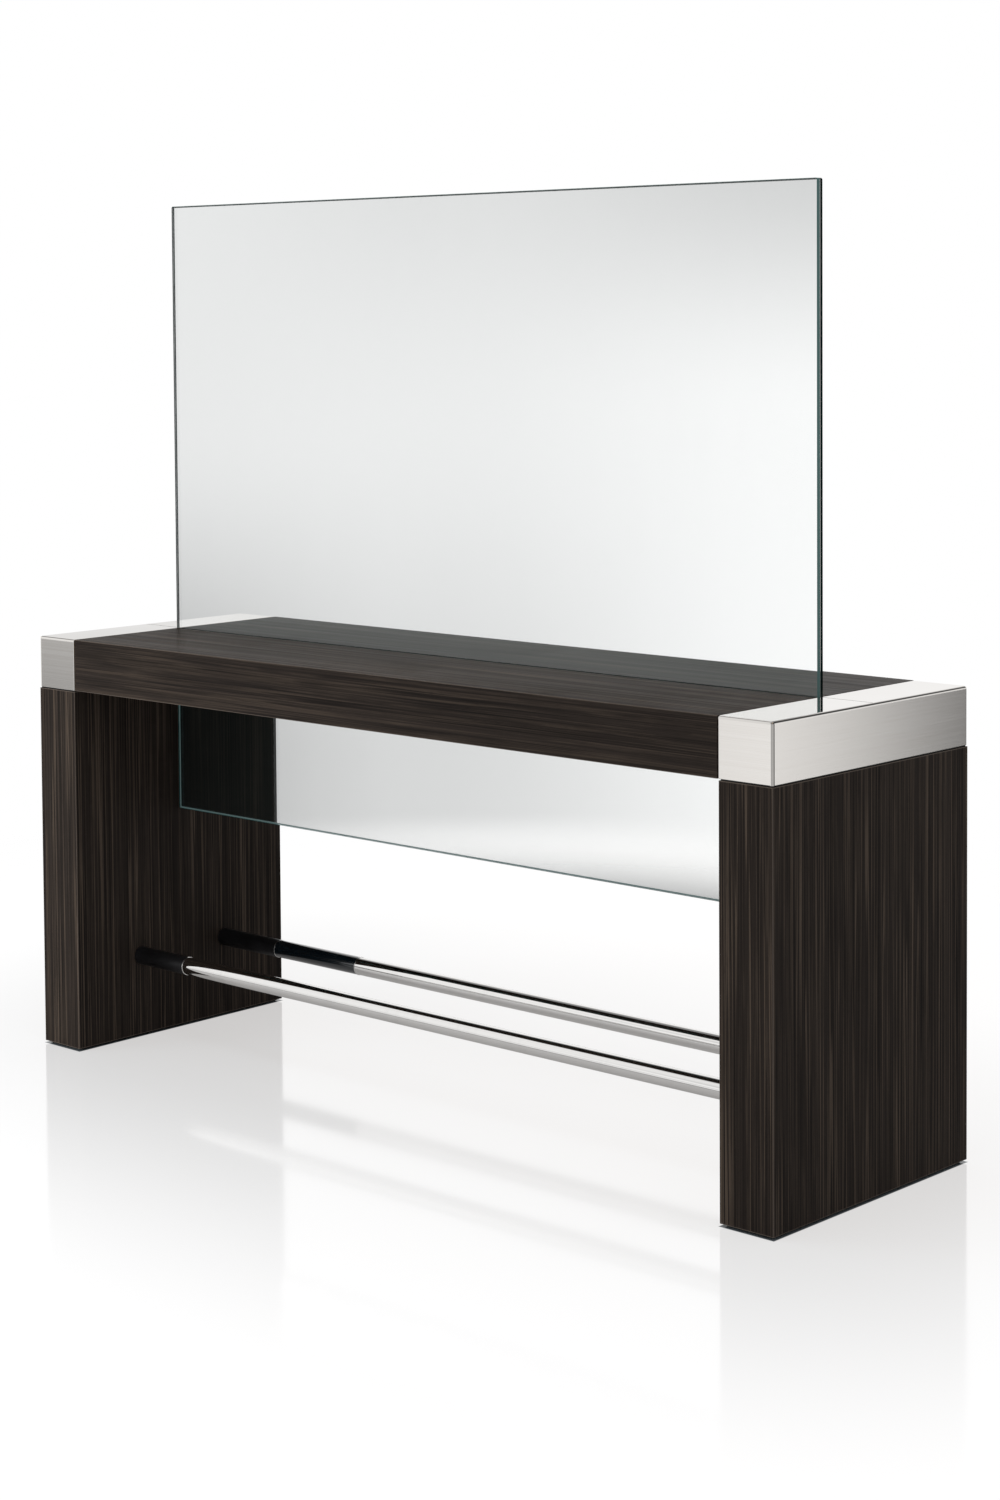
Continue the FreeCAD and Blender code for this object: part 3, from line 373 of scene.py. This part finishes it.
DARK_BROWN, BROWN, TAN = (0.0175, 0.0137, 0.0116), (0.0245, 0.0190, 0.0160), (0.082, 0.062, 0.047)
NEAR_BLACK = (0.0062, 0.0052, 0.0048)
leaves = noise(figure, grain_place, (20.0, 20.0, 0.4), 2.0)
stripes = noise(figure, grain_place, (150.0, 150.0, 0.7), 2.0, 0.6)
pores = noise(figure, grain_place, (1500.0, 1500.0, 40.0), 1.0)
ground = tint(figure, ease(figure, leaves, 0.26, 0.74), DARK_BROWN, BROWN)
ground = tint(figure, ease(figure, stripes, 0.5, 0.36, 0.0, 0.35), ground, NEAR_BLACK)
ground = tint(figure, grain_lines(0.0070, 1.1, 0.09, 0.6), ground, NEAR_BLACK)
ground = tint(figure, grain_lines(0.0042, 0.7, 0.08, 0.3), ground, TAN)
bold = calc(figure, "MULTIPLY", grain_lines(0.0105, 1.6, 0.045, 0.85), given["Warmth"])
ground = tint(figure, bold, ground, TAN)
# Toplit paints the veneer paler, towards tan: painted light falling on the worktop's tops.
ground = tint(figure, given["Fading"], ground, TAN)
open_pores = ease(figure, pores, 0.62, 0.72)
figure.links.new(tint(figure, calc(figure, "MULTIPLY", open_pores, 0.4), ground, NEAR_BLACK), made["Color"])
figure.links.new(ease(figure, stripes, 0.35, 0.65, 0.50, 0.40), made["Roughness"])
figure.links.new(calc(figure, "SUBTRACT", calc(figure, "MULTIPLY", stripes, 0.5), open_pores), made["Height"])

# Marks that hands and cloths leave on lacquer, metal and glass, as a share of the surface.
marks, given, made = new_group("handling_marks", {"Vector": ("Vector", None), "Size": ("Float", 5.0)},
                               {"Share": "Float"})
spread = put(marks, "ShaderNodeVectorMath", {0: given["Vector"], "Scale": given["Size"]}, operation="SCALE")
patches = noise(marks, spread.outputs[0], (1.0, 1.0, 1.6), 4.0, 0.6)
wiped = noise(marks, spread.outputs[0], (9.0, 2.0, 2.0), 3.0, 0.6)
marks.links.new(calc(marks, "MULTIPLY", ease(marks, patches, 0.45, 0.7), ease(marks, wiped, 0.3, 0.7)),
                made["Share"])

# Where two faces of a box meet, the veneer is painted paler in a thin line: a painted highlight along
# its edges. The box is given by its middle and its half size. The station's two ends and sides are alike,
# so one box serves both of them.
highlight_group, given, made = new_group("worn_corners", {"Vector": ("Vector", None), "Middle": ("Vector", None),
                                               "Half": ("Vector", None), "Width": ("Float", 0.0015)},
                              {"Share": "Float"})
from_faces = calc_vector(highlight_group, "SUBTRACT", calc_vector(highlight_group, "ABSOLUTE", given["Vector"]), given["Middle"])
from_faces = calc_vector(highlight_group, "SUBTRACT", calc_vector(highlight_group, "ABSOLUTE", from_faces), given["Half"])
from_faces = put(highlight_group, "ShaderNodeSeparateXYZ", {0: from_faces}).outputs
nearest = calc(highlight_group, "MAXIMUM", from_faces["X"], calc(highlight_group, "MAXIMUM", from_faces["Y"], from_faces["Z"]))
furthest = calc(highlight_group, "MINIMUM", from_faces["X"], calc(highlight_group, "MINIMUM", from_faces["Y"], from_faces["Z"]))
second = calc(highlight_group, "ADD", from_faces["X"], calc(highlight_group, "ADD", from_faces["Y"], from_faces["Z"]))
second = calc(highlight_group, "SUBTRACT", second, calc(highlight_group, "ADD", nearest, furthest))
highlight_group.links.new(ease(highlight_group, calc(highlight_group, "ADD", second, given["Width"]), -0.0002, 0.0002), made["Share"])


LACQUER_GLOSS = 0.035
EDGE_HIGHLIGHT_TAN, EDGE_HIGHLIGHT_SHARE = (0.125, 0.102, 0.085), 0.7


def veneer(name, offset, turned, box, warmth, painted_in_mirror, gloss=LACQUER_GLOSS, painted_toplight=0.0):
    """Lacquered veneer whose leaf starts elsewhere for each board. Turned, its grain runs along X.

    What is seen through the mirror's glass is painted over by a given colour and share: painted shade
    and a painted veil in the reflection.
    """
    material, tree, shader, place = new_material(name, Specular_IOR_Level=gloss)
    angle = math.radians(90) if turned else 0.0
    moved = put(tree, "ShaderNodeMapping", {"Vector": place, "Location": offset, "Rotation": (0, angle, 0)})
    look = placed(tree, figure, Vector=moved.outputs[0], Warmth=warmth, Fading=painted_toplight)
    touched = placed(tree, marks, Vector=moved.outputs[0], Size=3.0)["Share"]
    through_pane = put(tree, "ShaderNodeLightPath").outputs["Is Transmission Ray"]
    edge_highlight_share = placed(tree, highlight_group, Vector=place, Middle=box[0], Half=box[1])["Share"]
    # The box's edges are painted pale tan: a painted highlight.
    colour = tint(tree, calc(tree, "MULTIPLY", edge_highlight_share, EDGE_HIGHLIGHT_SHARE), look["Color"], EDGE_HIGHLIGHT_TAN)
    # Through the mirror's glass the veneer takes a given colour: painted shade on the legs, a painted veil on
    # the tops.
    painted_colour, painted_share = painted_in_mirror
    colour = tint(tree, calc(tree, "MULTIPLY", through_pane, painted_share), colour, painted_colour)
    tree.links.new(colour, shader.inputs["Base Color"])
    tree.links.new(calc(tree, "MULTIPLY_ADD", touched, 0.06, look["Roughness"]), shader.inputs["Roughness"])
    add_bump(tree, shader, look["Height"], 0.2, 0.0002)
    return material


def copied_mesh(node):
    """A welded copy of a CAD node's mesh, with its flat faces whole again."""
    mesh = bmesh.new()
    mesh.from_mesh(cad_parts[node].data)
    bmesh.ops.remove_doubles(mesh, verts=mesh.verts, dist=0.000001)
    bmesh.ops.dissolve_limit(mesh, angle_limit=math.radians(0.5), verts=mesh.verts, edges=mesh.edges)
    return mesh


def take_off_arris(mesh, width, shortest=0.05):
    """Rounds a mesh's long sharp edges, as a light sanding does."""
    sharp = [edge for edge in mesh.edges
             if edge.calc_length() > shortest and edge.is_manifold
             and edge.calc_face_angle() > math.radians(30)]
    bmesh.ops.bevel(mesh, geom=sharp, offset=width, segments=2, profile=0.5, affect="EDGES",
                    clamp_overlap=True)


def new_piece(name, mesh, materials, slot, *replaced, smooth_below=50.0):
    """A finished piece from a bmesh, on the fixed body, that stands for CAD nodes."""
    data = bpy.data.meshes.new(name)
    mesh.to_mesh(data)
    mesh.free()
    data.shade_smooth()
    data.set_sharp_from_angle(angle=math.radians(smooth_below))
    piece = bpy.data.objects.new(name, data)
    bpy.context.scene.collection.objects.link(piece)
    for material in materials:
        data.materials.append(material)
    even = piece.modifiers.new("flat_faces_stay_flat", "WEIGHTED_NORMAL")
    even.weight = 100
    even.keep_sharp = True
    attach(piece, "station")
    if replaced:
        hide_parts(*replaced)
    return piece


BOARD_ARRIS = 0.001
END_SETBACK = 0.0015


def veneered_board(name, node, leaf, setback=0.0):
    """A board with eased edges. The worktop's boards stop a little short, so that a dark line shows."""
    board = copied_mesh(node)
    if setback:
        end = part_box(node)[1].x - setback
        for corner in board.verts:
            corner.co.x = max(-end, min(end, corner.co.x))
    take_off_arris(board, BOARD_ARRIS)
    new_piece(name, board, [leaf], "wenge_veneer", node)


# Seen in the mirror, the legs are painted near black, a painted shade, and the worktop's tops pale teal grey,
# a painted veil of light.
LEG_SHADE_PAINTED_IN_MIRROR, TOP_VEIL_PAINTED_IN_MIRROR = (0.004, 0.008, 0.0075), (0.115, 0.13, 0.127)
for side, start, warmth in (("left", 0.0, 0.9), ("right", 3.7, 1.0)):
    for number, face in enumerate(("front", "rear", "inner", "outer")):
        offset = (start + 0.9 * number, 0.6 * number, 0.0)
        leaf = veneer(f"{side}_{face}_leaf", offset, False, (LEG_MIDDLE, LEG_HALF), warmth, (LEG_SHADE_PAINTED_IN_MIRROR, 0.75))
        veneered_board(f"{side}_leg_{face}_board", f"{side}_leg_{face}_panel", leaf)

# Each board of the worktop box: its name, its node, its warmth, gloss and painted top light, and its share of
# painted mirror tone.
BEAM_BOX = ((0.0, 0.0, 0.8445), (1.0, 0.3, 0.0555))
WORKTOP_BOARDS = (("top", "worktop_panel", 1.2, 0.018, 0.10, 0.45),
                  ("apron", "apron", 0.4, LACQUER_GLOSS, 0.0, 0.0),
                  ("soffit", "soffit", 0.5, LACQUER_GLOSS, 0.0, 0.0))
# The worktop's tops are painted paler, the rear top twice as much: painted light from above.
for number, face in enumerate(("front", "rear")):
    for step, (board, node, warmth, gloss, painted_toplight, share) in enumerate(WORKTOP_BOARDS):
        offset = (0.0, 1.3 * number + 0.41 * step, 0.7 * step)
        leaf = veneer(f"{face}_{board}_leaf", offset, True, BEAM_BOX, warmth, (TOP_VEIL_PAINTED_IN_MIRROR, share),
                      gloss * (1 + 2 * number), painted_toplight * (1 + number))
        veneered_board(f"{face}_{board}_board", f"{face}_{node}", leaf, END_SETBACK)

# ------------------------------------------------------------------ worktop screws
# Black wood screws with a cross recess hold each soffit up to its ribs, five rows of four, their heads
# sunk a millimetre into the board.
SCREW_ROWS_X = (-0.86, -0.43, 0.0, 0.43, 0.86)
SCREW_ROWS_Y = (-0.24, -0.1005, 0.1005, 0.24)
HEAD_UNDERSIDE = 0.790
HEAD_RADIUS, HEAD_HEIGHT, HEAD_EDGE = 0.004, 0.0026, 0.0006
SHANK_RADIUS, SHANK_LENGTH = 0.002, 0.032


def wood_screw():
    """One screw, head down at the origin: a bevelled rim, a cross recess and a plain shank.

    Each ring has its radius on the cross's arms, its radius between them, and its height.
    """
    mesh = bmesh.new()
    sides = 24
    arm, notch, floor_arm, recess = 0.0024, 0.0009, 0.0015, 0.0014
    flat, shank_end = HEAD_RADIUS - HEAD_EDGE, HEAD_HEIGHT + SHANK_LENGTH
    profile = [(floor_arm, notch, recess), (arm, notch, 0.0), (flat, flat, 0.0),
               (HEAD_RADIUS, HEAD_RADIUS, HEAD_EDGE), (HEAD_RADIUS, HEAD_RADIUS, HEAD_HEIGHT),
               (SHANK_RADIUS, SHANK_RADIUS, HEAD_HEIGHT), (SHANK_RADIUS, SHANK_RADIUS, shank_end)]
    rings = []
    for on_arm, between, height in profile:
        reach = [on_arm if step % 6 in (0, 1, 5) else between for step in range(sides)]
        angles = [math.tau * step / sides for step in range(sides)]
        rings.append([mesh.verts.new((across * math.cos(angle), across * math.sin(angle), height))
                      for across, angle in zip(reach, angles)])
    for inner, outer in zip(rings, rings[1:]):
        for step in range(sides):
            after = (step + 1) % sides
            mesh.faces.new((inner[step], inner[after], outer[after], outer[step]))
    mesh.faces.new(rings[0])
    mesh.faces.new(rings[-1])
    bmesh.ops.recalc_face_normals(mesh, faces=mesh.faces)
    data = bpy.data.meshes.new("wood_screw")
    mesh.to_mesh(data)
    mesh.free()
    return bpy.data.objects.new("wood_screw", data)


def new_growth(name, inputs):
    """A Geometry Nodes tree with named inputs, after the geometry that it starts from."""
    tree = bpy.data.node_groups.new(name, "GeometryNodeTree")
    tree.interface.new_socket("Geometry", in_out="INPUT", socket_type="NodeSocketGeometry")
    for label, kind in inputs.items():
        tree.interface.new_socket(label, in_out="INPUT", socket_type=f"NodeSocket{kind}")
    tree.interface.new_socket("Geometry", in_out="OUTPUT", socket_type="NodeSocketGeometry")
    return tree, put(tree, "NodeGroupInput").outputs


def end_growth(tree, geometry, material):
    """Ends a tree: instances are made real and the material is set."""
    real = put(tree, "GeometryNodeRealizeInstances", {0: geometry}).outputs[0]
    dressed = put(tree, "GeometryNodeSetMaterial", {"Geometry": real, "Material": material}).outputs[0]
    tree.links.new(dressed, put(tree, "NodeGroupOutput").inputs[0])


def grow(tree, verts, edges, **values):
    """What a tree makes from points and lines, as a bmesh with its list of materials."""
    start = bpy.data.meshes.new(tree.name)
    start.from_pydata(verts, edges, [])
    seed = bpy.data.objects.new(tree.name, start)
    bpy.context.scene.collection.objects.link(seed)
    modifier = seed.modifiers.new("growth", "NODES")
    modifier.node_group = tree
    for item in tree.interface.items_tree:
        if item.in_out == "INPUT" and item.name in values:
            modifier[item.identifier] = values[item.name]
    grown = bpy.data.meshes.new_from_object(seed.evaluated_get(bpy.context.evaluated_depsgraph_get()))
    bpy.data.objects.remove(seed)
    mesh = bmesh.new()
    mesh.from_mesh(grown)
    materials = list(grown.materials)
    bpy.data.meshes.remove(grown)
    return mesh, materials


scatter, given = new_growth("screws_on_points", {"Screw": "Object", "Finish": "Material"})
screw_shape = put(scatter, "GeometryNodeObjectInfo", {"Object": given["Screw"]}).outputs["Geometry"]
points = put(scatter, "GeometryNodeMeshToPoints", {"Mesh": given["Geometry"]}).outputs[0]
copies = put(scatter, "GeometryNodeInstanceOnPoints", {"Points": points, "Instance": screw_shape}).outputs[0]
end_growth(scatter, copies, given["Finish"])

black_steel = skin("black_phosphate", (0.012, 0.012, 0.013), (0.030, 0.030, 0.031), (0.32, 0.5), 2600.0,
                   0.00003)
spots = [(across, along, HEAD_UNDERSIDE) for across in SCREW_ROWS_X for along in SCREW_ROWS_Y]
screw = wood_screw()
screws, finishes = grow(scatter, spots, [], Screw=screw, Finish=black_steel)
bpy.data.objects.remove(screw)
new_piece("soffit_wood_screws", screws, finishes, "black_screw", "soffit_screws", smooth_below=30.0)

# ------------------------------------------------------------------ end caps
# Stainless sheet folded over each end of the beam, with rounded bends, and glued to its former. The faces
# are brushed lengthwise to a fine satin, and the top and the bends are polished. An open seam crosses the
# top in line with the mirror.
CAP_SHEET, CAP_BEND, CAP_RIM = 0.002, 0.006, 0.0012
SEAM_WIDTH, SEAM_DEPTH = 0.0022, 0.001
brushed, given, made = new_group("brushed_lines", {"Vector": ("Vector", None)},
                                 {"Shade": "Float", "Height": "Float"})
coarse = noise(brushed, given["Vector"], (0.7, 0.7, 900.0), 2.0, 0.6)
fine = noise(brushed, given["Vector"], (5.0, 5.0, 3000.0), 2.0, 0.6)
both = calc(brushed, "MULTIPLY", calc(brushed, "ADD", coarse, fine), 0.5)
brushed.links.new(both, made["Shade"])
brushed.links.new(fine, made["Height"])

stainless, tree, shader, place = new_material("satin_stainless", Metallic=1.0)
lines = placed(tree, brushed, Vector=place)
facing = put(tree, "ShaderNodeSeparateXYZ", {0: put(tree, "ShaderNodeNewGeometry").outputs["Normal"]})
sideways = calc(tree, "MAXIMUM", calc(tree, "ABSOLUTE", facing.outputs["X"]),
                calc(tree, "ABSOLUTE", facing.outputs["Y"]))
polished = ease(tree, sideways, 0.998, 0.985)
touched = placed(tree, marks, Vector=place, Size=4.0)["Share"]
satin = calc(tree, "MULTIPLY_ADD", lines["Shade"], 0.08, 0.07)
gloss = calc(tree, "MULTIPLY_ADD", touched, 0.04, 0.03)
tree.links.new(put(tree, "ShaderNodeMix", {"Factor": polished, 2: satin, 3: gloss}).outputs[0],
               shader.inputs["Roughness"])
tree.links.new(tint(tree, ease(tree, lines["Shade"], 0.38, 0.62), (0.775, 0.745, 0.71), (0.82, 0.795, 0.765)),
               shader.inputs["Base Color"])
add_bump(tree, shader, lines["Height"], 0.05, 0.0001)


def folded_cap(side):
    """The sheet as one closed shell: rounded outside, hollow inside, open below and towards the worktop."""
    low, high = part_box(f"{side}_end_cap")
    way = -1 if side == "left" else 1
    near, far = (high.x, low.x) if way < 0 else (low.x, high.x)
    cap = bmesh.new()
    bmesh.ops.create_cube(cap, size=1.0)
    for corner in cap.verts:
        corner.co = Vector((far if corner.co.x > 0 else near, high.y if corner.co.y > 0 else low.y,
                            high.z if corner.co.z > 0 else low.z))
    bmesh.ops.recalc_face_normals(cap, faces=cap.faces)

    def all_at(edge, axis, value):
        return all(abs(end.co[axis] - value) < 1e-6 for end in edge.verts)

    bends = [edge for edge in cap.edges if not all_at(edge, 2, low.z) and not all_at(edge, 0, near)]
    bmesh.ops.bevel(cap, geom=bends, offset=CAP_BEND, segments=6, profile=0.5, affect="EDGES")
    openings = [face for face in cap.faces if face.normal.z < -0.99 or face.normal.x * way < -0.99]
    bmesh.ops.delete(cap, geom=openings, context="FACES")
    for height in (-SEAM_WIDTH / 2, SEAM_WIDTH / 2):
        bmesh.ops.bisect_plane(cap, geom=cap.verts[:] + cap.edges[:] + cap.faces[:],
                               plane_co=(0, height, 0), plane_no=(0, 1, 0))
    strip = [face for face in cap.faces
             if face.normal.z > 0.99 and abs(face.calc_center_median().y) < SEAM_WIDTH / 2]
    for face in bmesh.ops.extrude_discrete_faces(cap, faces=strip)["faces"]:
        for corner in face.verts:
            corner.co.z -= SEAM_DEPTH
    ends = [face for face in cap.faces if abs(face.calc_center_median().x - near) < 1e-6]
    bmesh.ops.delete(cap, geom=ends, context="FACES")
    data = bpy.data.meshes.new("cap_sheet")
    cap.to_mesh(data)
    cap.free()
    sheet = bpy.data.objects.new("cap_sheet", data)
    bpy.context.scene.collection.objects.link(sheet)
    wall = sheet.modifiers.new("sheet", "SOLIDIFY")
    wall.thickness = CAP_SHEET
    wall.offset = -1.0
    wall.use_even_offset = True
    whole = bpy.data.meshes.new_from_object(sheet.evaluated_get(bpy.context.evaluated_depsgraph_get()))
    bpy.data.objects.remove(sheet)
    mesh = bmesh.new()
    mesh.from_mesh(whole)
    bpy.data.meshes.remove(whole)
    bmesh.ops.recalc_face_normals(mesh, faces=mesh.faces)

    def on_outside(face):
        middle, close = face.calc_center_median(), 1e-4
        return (abs(face.normal.y) > 0.9 and abs(abs(middle.y) - high.y) < close
                or face.normal.z > 0.9 and abs(middle.z - high.z) < close
                or face.normal.x * way > 0.9 and abs(middle.x - far) < close)

    rim = [edge for edge in mesh.edges
           if edge.is_manifold and edge.calc_face_angle() > math.radians(60)
           and (all_at(edge, 2, low.z) or all_at(edge, 0, near))
           and any(on_outside(face) for face in edge.link_faces)]
    bmesh.ops.bevel(mesh, geom=rim, offset=CAP_RIM, segments=2, profile=0.5, affect="EDGES",
                    clamp_overlap=True)
    return mesh


for side in ("left", "right"):
    new_piece(f"{side}_folded_cap", folded_cap(side), [stainless], "satin_stainless", f"{side}_end_cap",
              smooth_below=30.0)

# ------------------------------------------------------------------ mirror
# Two panes of clear glass, silvered on their hidden faces and bonded back to back. The silver stops short
# of the ground edges and at the slot, and under the worktop the bare band has a faint glow of its own: a
# painted light, standing in for light that the glass carries. The ground edges are painted lit teal on the
# front pane and dark on the rear one, and paler where they face up. Rubber strips part the glass from the
# steel.
SLOT_TOP, SLOT_FOOT = 0.8995, 0.79
EDGE_BAND, SLOT_BAND, BAND_BLUR = 0.0032, 0.0014, 0.0002
OUTLINE_DEPTH = 0.005
SILVER_IN_GLASS = 1.1
EDGE_SETBACK = 0.0004
pane_glass, tree, shader, place = new_material("clear_pane", IOR=1.52, Transmission_Weight=1.0, Roughness=0.0)
touched = placed(tree, marks, Vector=place, Size=2.0)["Share"]
tree.links.new(tint(tree, touched, (0.975, 0.983, 0.98), (0.968, 0.976, 0.974)), shader.inputs["Base Color"])

painted_edge_tones = {}
# Each pane's ground edges are the glass's teal, painted lit on the front pane and painted near black on the
# rear one.
for face, dark, pale, shine in (("front", (0.040, 0.115, 0.108), (0.075, 0.155, 0.150), 0.2),
                                ("rear", (0.001, 0.003, 0.003), (0.002, 0.010, 0.008), 0.01)):
    material, tree, shader, place = new_material(f"{face}_ground_edge", Specular_IOR_Level=shine)
    bands = noise(tree, place, (6.0, 900.0, 6.0), 2.0)
    upward = put(tree, "ShaderNodeSeparateXYZ", {0: put(tree, "ShaderNodeNewGeometry").outputs["Normal"]})
    ground = tint(tree, ease(tree, bands, 0.3, 0.7), dark, pale)
    # Edges that face up are painted paler: painted light from above.
    ground = tint(tree, ease(tree, upward.outputs["Z"], 0.5, 0.9), ground, (0.21, 0.235, 0.23))
    tree.links.new(ground, shader.inputs["Base Color"])
    tree.links.new(ease(tree, bands, 0.3, 0.7, 0.1, 0.2), shader.inputs["Roughness"])
    painted_edge_tones[face] = material

for face in ("front", "rear"):
    pane = copied_mesh(f"{face}_mirror_pane")
    low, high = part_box(f"{face}_mirror_pane")
    for polygon in pane.faces:
        middle = polygon.calc_center_median()
        at_outline = (abs(middle.x) > high.x - OUTLINE_DEPTH or middle.z > high.z - OUTLINE_DEPTH
                      or middle.z < low.z + OUTLINE_DEPTH)
        polygon.material_index = int(at_outline and abs(polygon.normal.y) < 0.99)
    new_piece(f"{face}_glass_pane", pane, [pane_glass, painted_edge_tones[face]], "silvered_glass",
              f"{face}_mirror_pane", smooth_below=30.0)

low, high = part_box("mirror_bond_film")
silver, tree, shader, place = new_material("silver_coat", Emission_Strength=1.0)
spot = put(tree, "ShaderNodeSeparateXYZ", {0: place}).outputs
past_end = calc(tree, "SUBTRACT", calc(tree, "ABSOLUTE", spot["X"]), high.x - EDGE_BAND)
off_middle = calc(tree, "ABSOLUTE", calc(tree, "SUBTRACT", spot["Z"], (low.z + high.z) / 2))
past_top = calc(tree, "SUBTRACT", off_middle, (high.z - low.z) / 2 - EDGE_BAND)
off_slot = calc(tree, "ABSOLUTE", calc(tree, "SUBTRACT", spot["Z"], SLOT_TOP))
at_slot = calc(tree, "SUBTRACT", SLOT_BAND, off_slot)
bare = calc(tree, "MAXIMUM", calc(tree, "MAXIMUM", past_end, past_top), at_slot)
bare = ease(tree, bare, -BAND_BLUR, BAND_BLUR)
touched = placed(tree, marks, Vector=place, Size=1.2)["Share"]
coat = tint(tree, touched, (0.975, 0.98, 0.98), (0.965, 0.97, 0.97))
# Under the worktop the bare band glows teal: a painted light, standing in for light that the glass carries.
painted_glow_band = calc(tree, "MULTIPLY", bare, ease(tree, spot["Z"], SLOT_TOP, SLOT_FOOT))
tree.links.new(tint(tree, painted_glow_band, (0.0, 0.0, 0.0), (0.055, 0.095, 0.095)), shader.inputs["Emission Color"])
tree.links.new(tint(tree, bare, coat, (0.165, 0.205, 0.20)), shader.inputs["Base Color"])
tree.links.new(calc(tree, "SUBTRACT", 1.0, bare), shader.inputs["Metallic"])
tree.links.new(calc(tree, "MULTIPLY", bare, 0.4), shader.inputs["Roughness"])
film = copied_mesh("mirror_bond_film")
for corner in film.verts:
    corner.co.y *= SILVER_IN_GLASS
    corner.co.x = max(low.x + EDGE_SETBACK, min(high.x - EDGE_SETBACK, corner.co.x))
    corner.co.z = max(low.z + EDGE_SETBACK, min(high.z - EDGE_SETBACK, corner.co.z))
new_piece("mirror_silvering", film, [silver], "silvered_glass", "mirror_bond_film", smooth_below=30.0)
dress(skin("black_rubber", (0.010, 0.010, 0.010), (0.016, 0.016, 0.016), (0.6, 0.8), 1800.0, 0.00004),
      "front_mirror_gasket", "rear_mirror_gasket")

# ------------------------------------------------------------------ foot rails
# Chromed steel tubes that plug into the legs. Matt black sleeves cover their ends, and thin chromed rings
# close them off. On the rear rail a gloss black length follows the sleeve, also closed by a ring: a painted
# reflection of the dark leg in the chrome. Sleeves and black length are measured from the leg's face.
RAIL_RADIUS, RAIL_END, RAIL_ARRIS = 0.019, 0.915, 0.0003
LEG_FACE = 0.882
SLEEVE_RADIUS, RING_RADIUS, PAINTED_REFLECTION_RADIUS = 0.0195, 0.0199, 0.0193
RING_LENGTH = 0.0018
RAIL_Y, RAIL_Z = {"front": -0.1225, "rear": 0.1225}, 0.181
SLEEVE_LENGTHS = {("front", -1): 0.157, ("front", 1): 0.096, ("rear", -1): 0.187, ("rear", 1): 0.187}
PAINTED_REFLECTION_END = 0.442

tubes, given = new_growth("tubes_on_lines", {"Radius": "Float", "Sides": "Int", "Finish": "Material"})
paths = put(tubes, "GeometryNodeMeshToCurve", {"Mesh": given["Geometry"]}).outputs[0]
section = put(tubes, "GeometryNodeCurvePrimitiveCircle",
              {"Radius": given["Radius"], "Resolution": given["Sides"]}).outputs[0]
swept = put(tubes, "GeometryNodeCurveToMesh",
            {"Curve": paths, "Profile Curve": section, "Fill Caps": True}).outputs[0]
end_growth(tubes, swept, given["Finish"])


def lengths_of_tube(name, spans, radius, finish, slot, *replaced):
    """Round lengths along X as one piece, from each one's rail and its two ends."""
    verts, edges = [], []
    for rail, start, end in spans:
        edges.append((len(verts), len(verts) + 1))
        verts += [(start, RAIL_Y[rail], RAIL_Z), (end, RAIL_Y[rail], RAIL_Z)]
    mesh, finishes = grow(tubes, verts, edges, Radius=radius, Sides=96, Finish=finish)
    take_off_arris(mesh, RAIL_ARRIS, shortest=0.0)
    bmesh.ops.recalc_face_normals(mesh, faces=mesh.faces)
    new_piece(name, mesh, finishes, slot, *replaced)


chrome, tree, shader, place = new_material("polished_chrome", Metallic=1.0)
touched = placed(tree, marks, Vector=place, Size=7.0)["Share"]
tree.links.new(calc(tree, "MULTIPLY_ADD", touched, 0.04, 0.02), shader.inputs["Roughness"])
tree.links.new(tint(tree, touched, (0.87, 0.86, 0.845), (0.82, 0.81, 0.795)), shader.inputs["Base Color"])
for rail in ("front", "rear"):
    lengths_of_tube(f"{rail}_rail_tube", [(rail, -RAIL_END, RAIL_END)], RAIL_RADIUS, chrome,
                    "polished_chrome", f"{rail}_foot_rail")

sleeve_black = skin("matt_black_sleeve", (0.0045, 0.0045, 0.005), (0.008, 0.008, 0.009), (0.34, 0.42), 2400.0,
                    0.00002)
sleeves = [(rail, way * LEG_FACE, way * (LEG_FACE - length))
           for (rail, way), length in SLEEVE_LENGTHS.items()]
lengths_of_tube("rail_sleeves", sleeves, SLEEVE_RADIUS, sleeve_black, "black_lacquer", "rail_collars")

# A blue black coat on a length of the rear rail: a painted reflection of the dark leg in its chrome.
painted_leg_reflection, tree, shader, place = new_material("gloss_black_length", Coat_Weight=1.0, Coat_Roughness=0.02)
touched = placed(tree, marks, Vector=place, Size=9.0)["Share"]
reflected_blue_black = tint(tree, touched, (0.0015, 0.004, 0.006), (0.003, 0.007, 0.010))
tree.links.new(reflected_blue_black, shader.inputs["Base Color"])
tree.links.new(calc(tree, "MULTIPLY_ADD", touched, 0.1, 0.15), shader.inputs["Roughness"])
painted_reflection_span = ("rear", -LEG_FACE + SLEEVE_LENGTHS["rear", -1], -LEG_FACE + PAINTED_REFLECTION_END)
lengths_of_tube("rear_rail_black_length", [painted_reflection_span], PAINTED_REFLECTION_RADIUS, painted_leg_reflection, "black_lacquer")

rings = [(rail, end, end - math.copysign(RING_LENGTH, end)) for rail, start, end in sleeves]
rings.append(("rear", painted_reflection_span[2], painted_reflection_span[2] + RING_LENGTH))
lengths_of_tube("rail_rings", rings, RING_RADIUS, chrome, "polished_chrome")
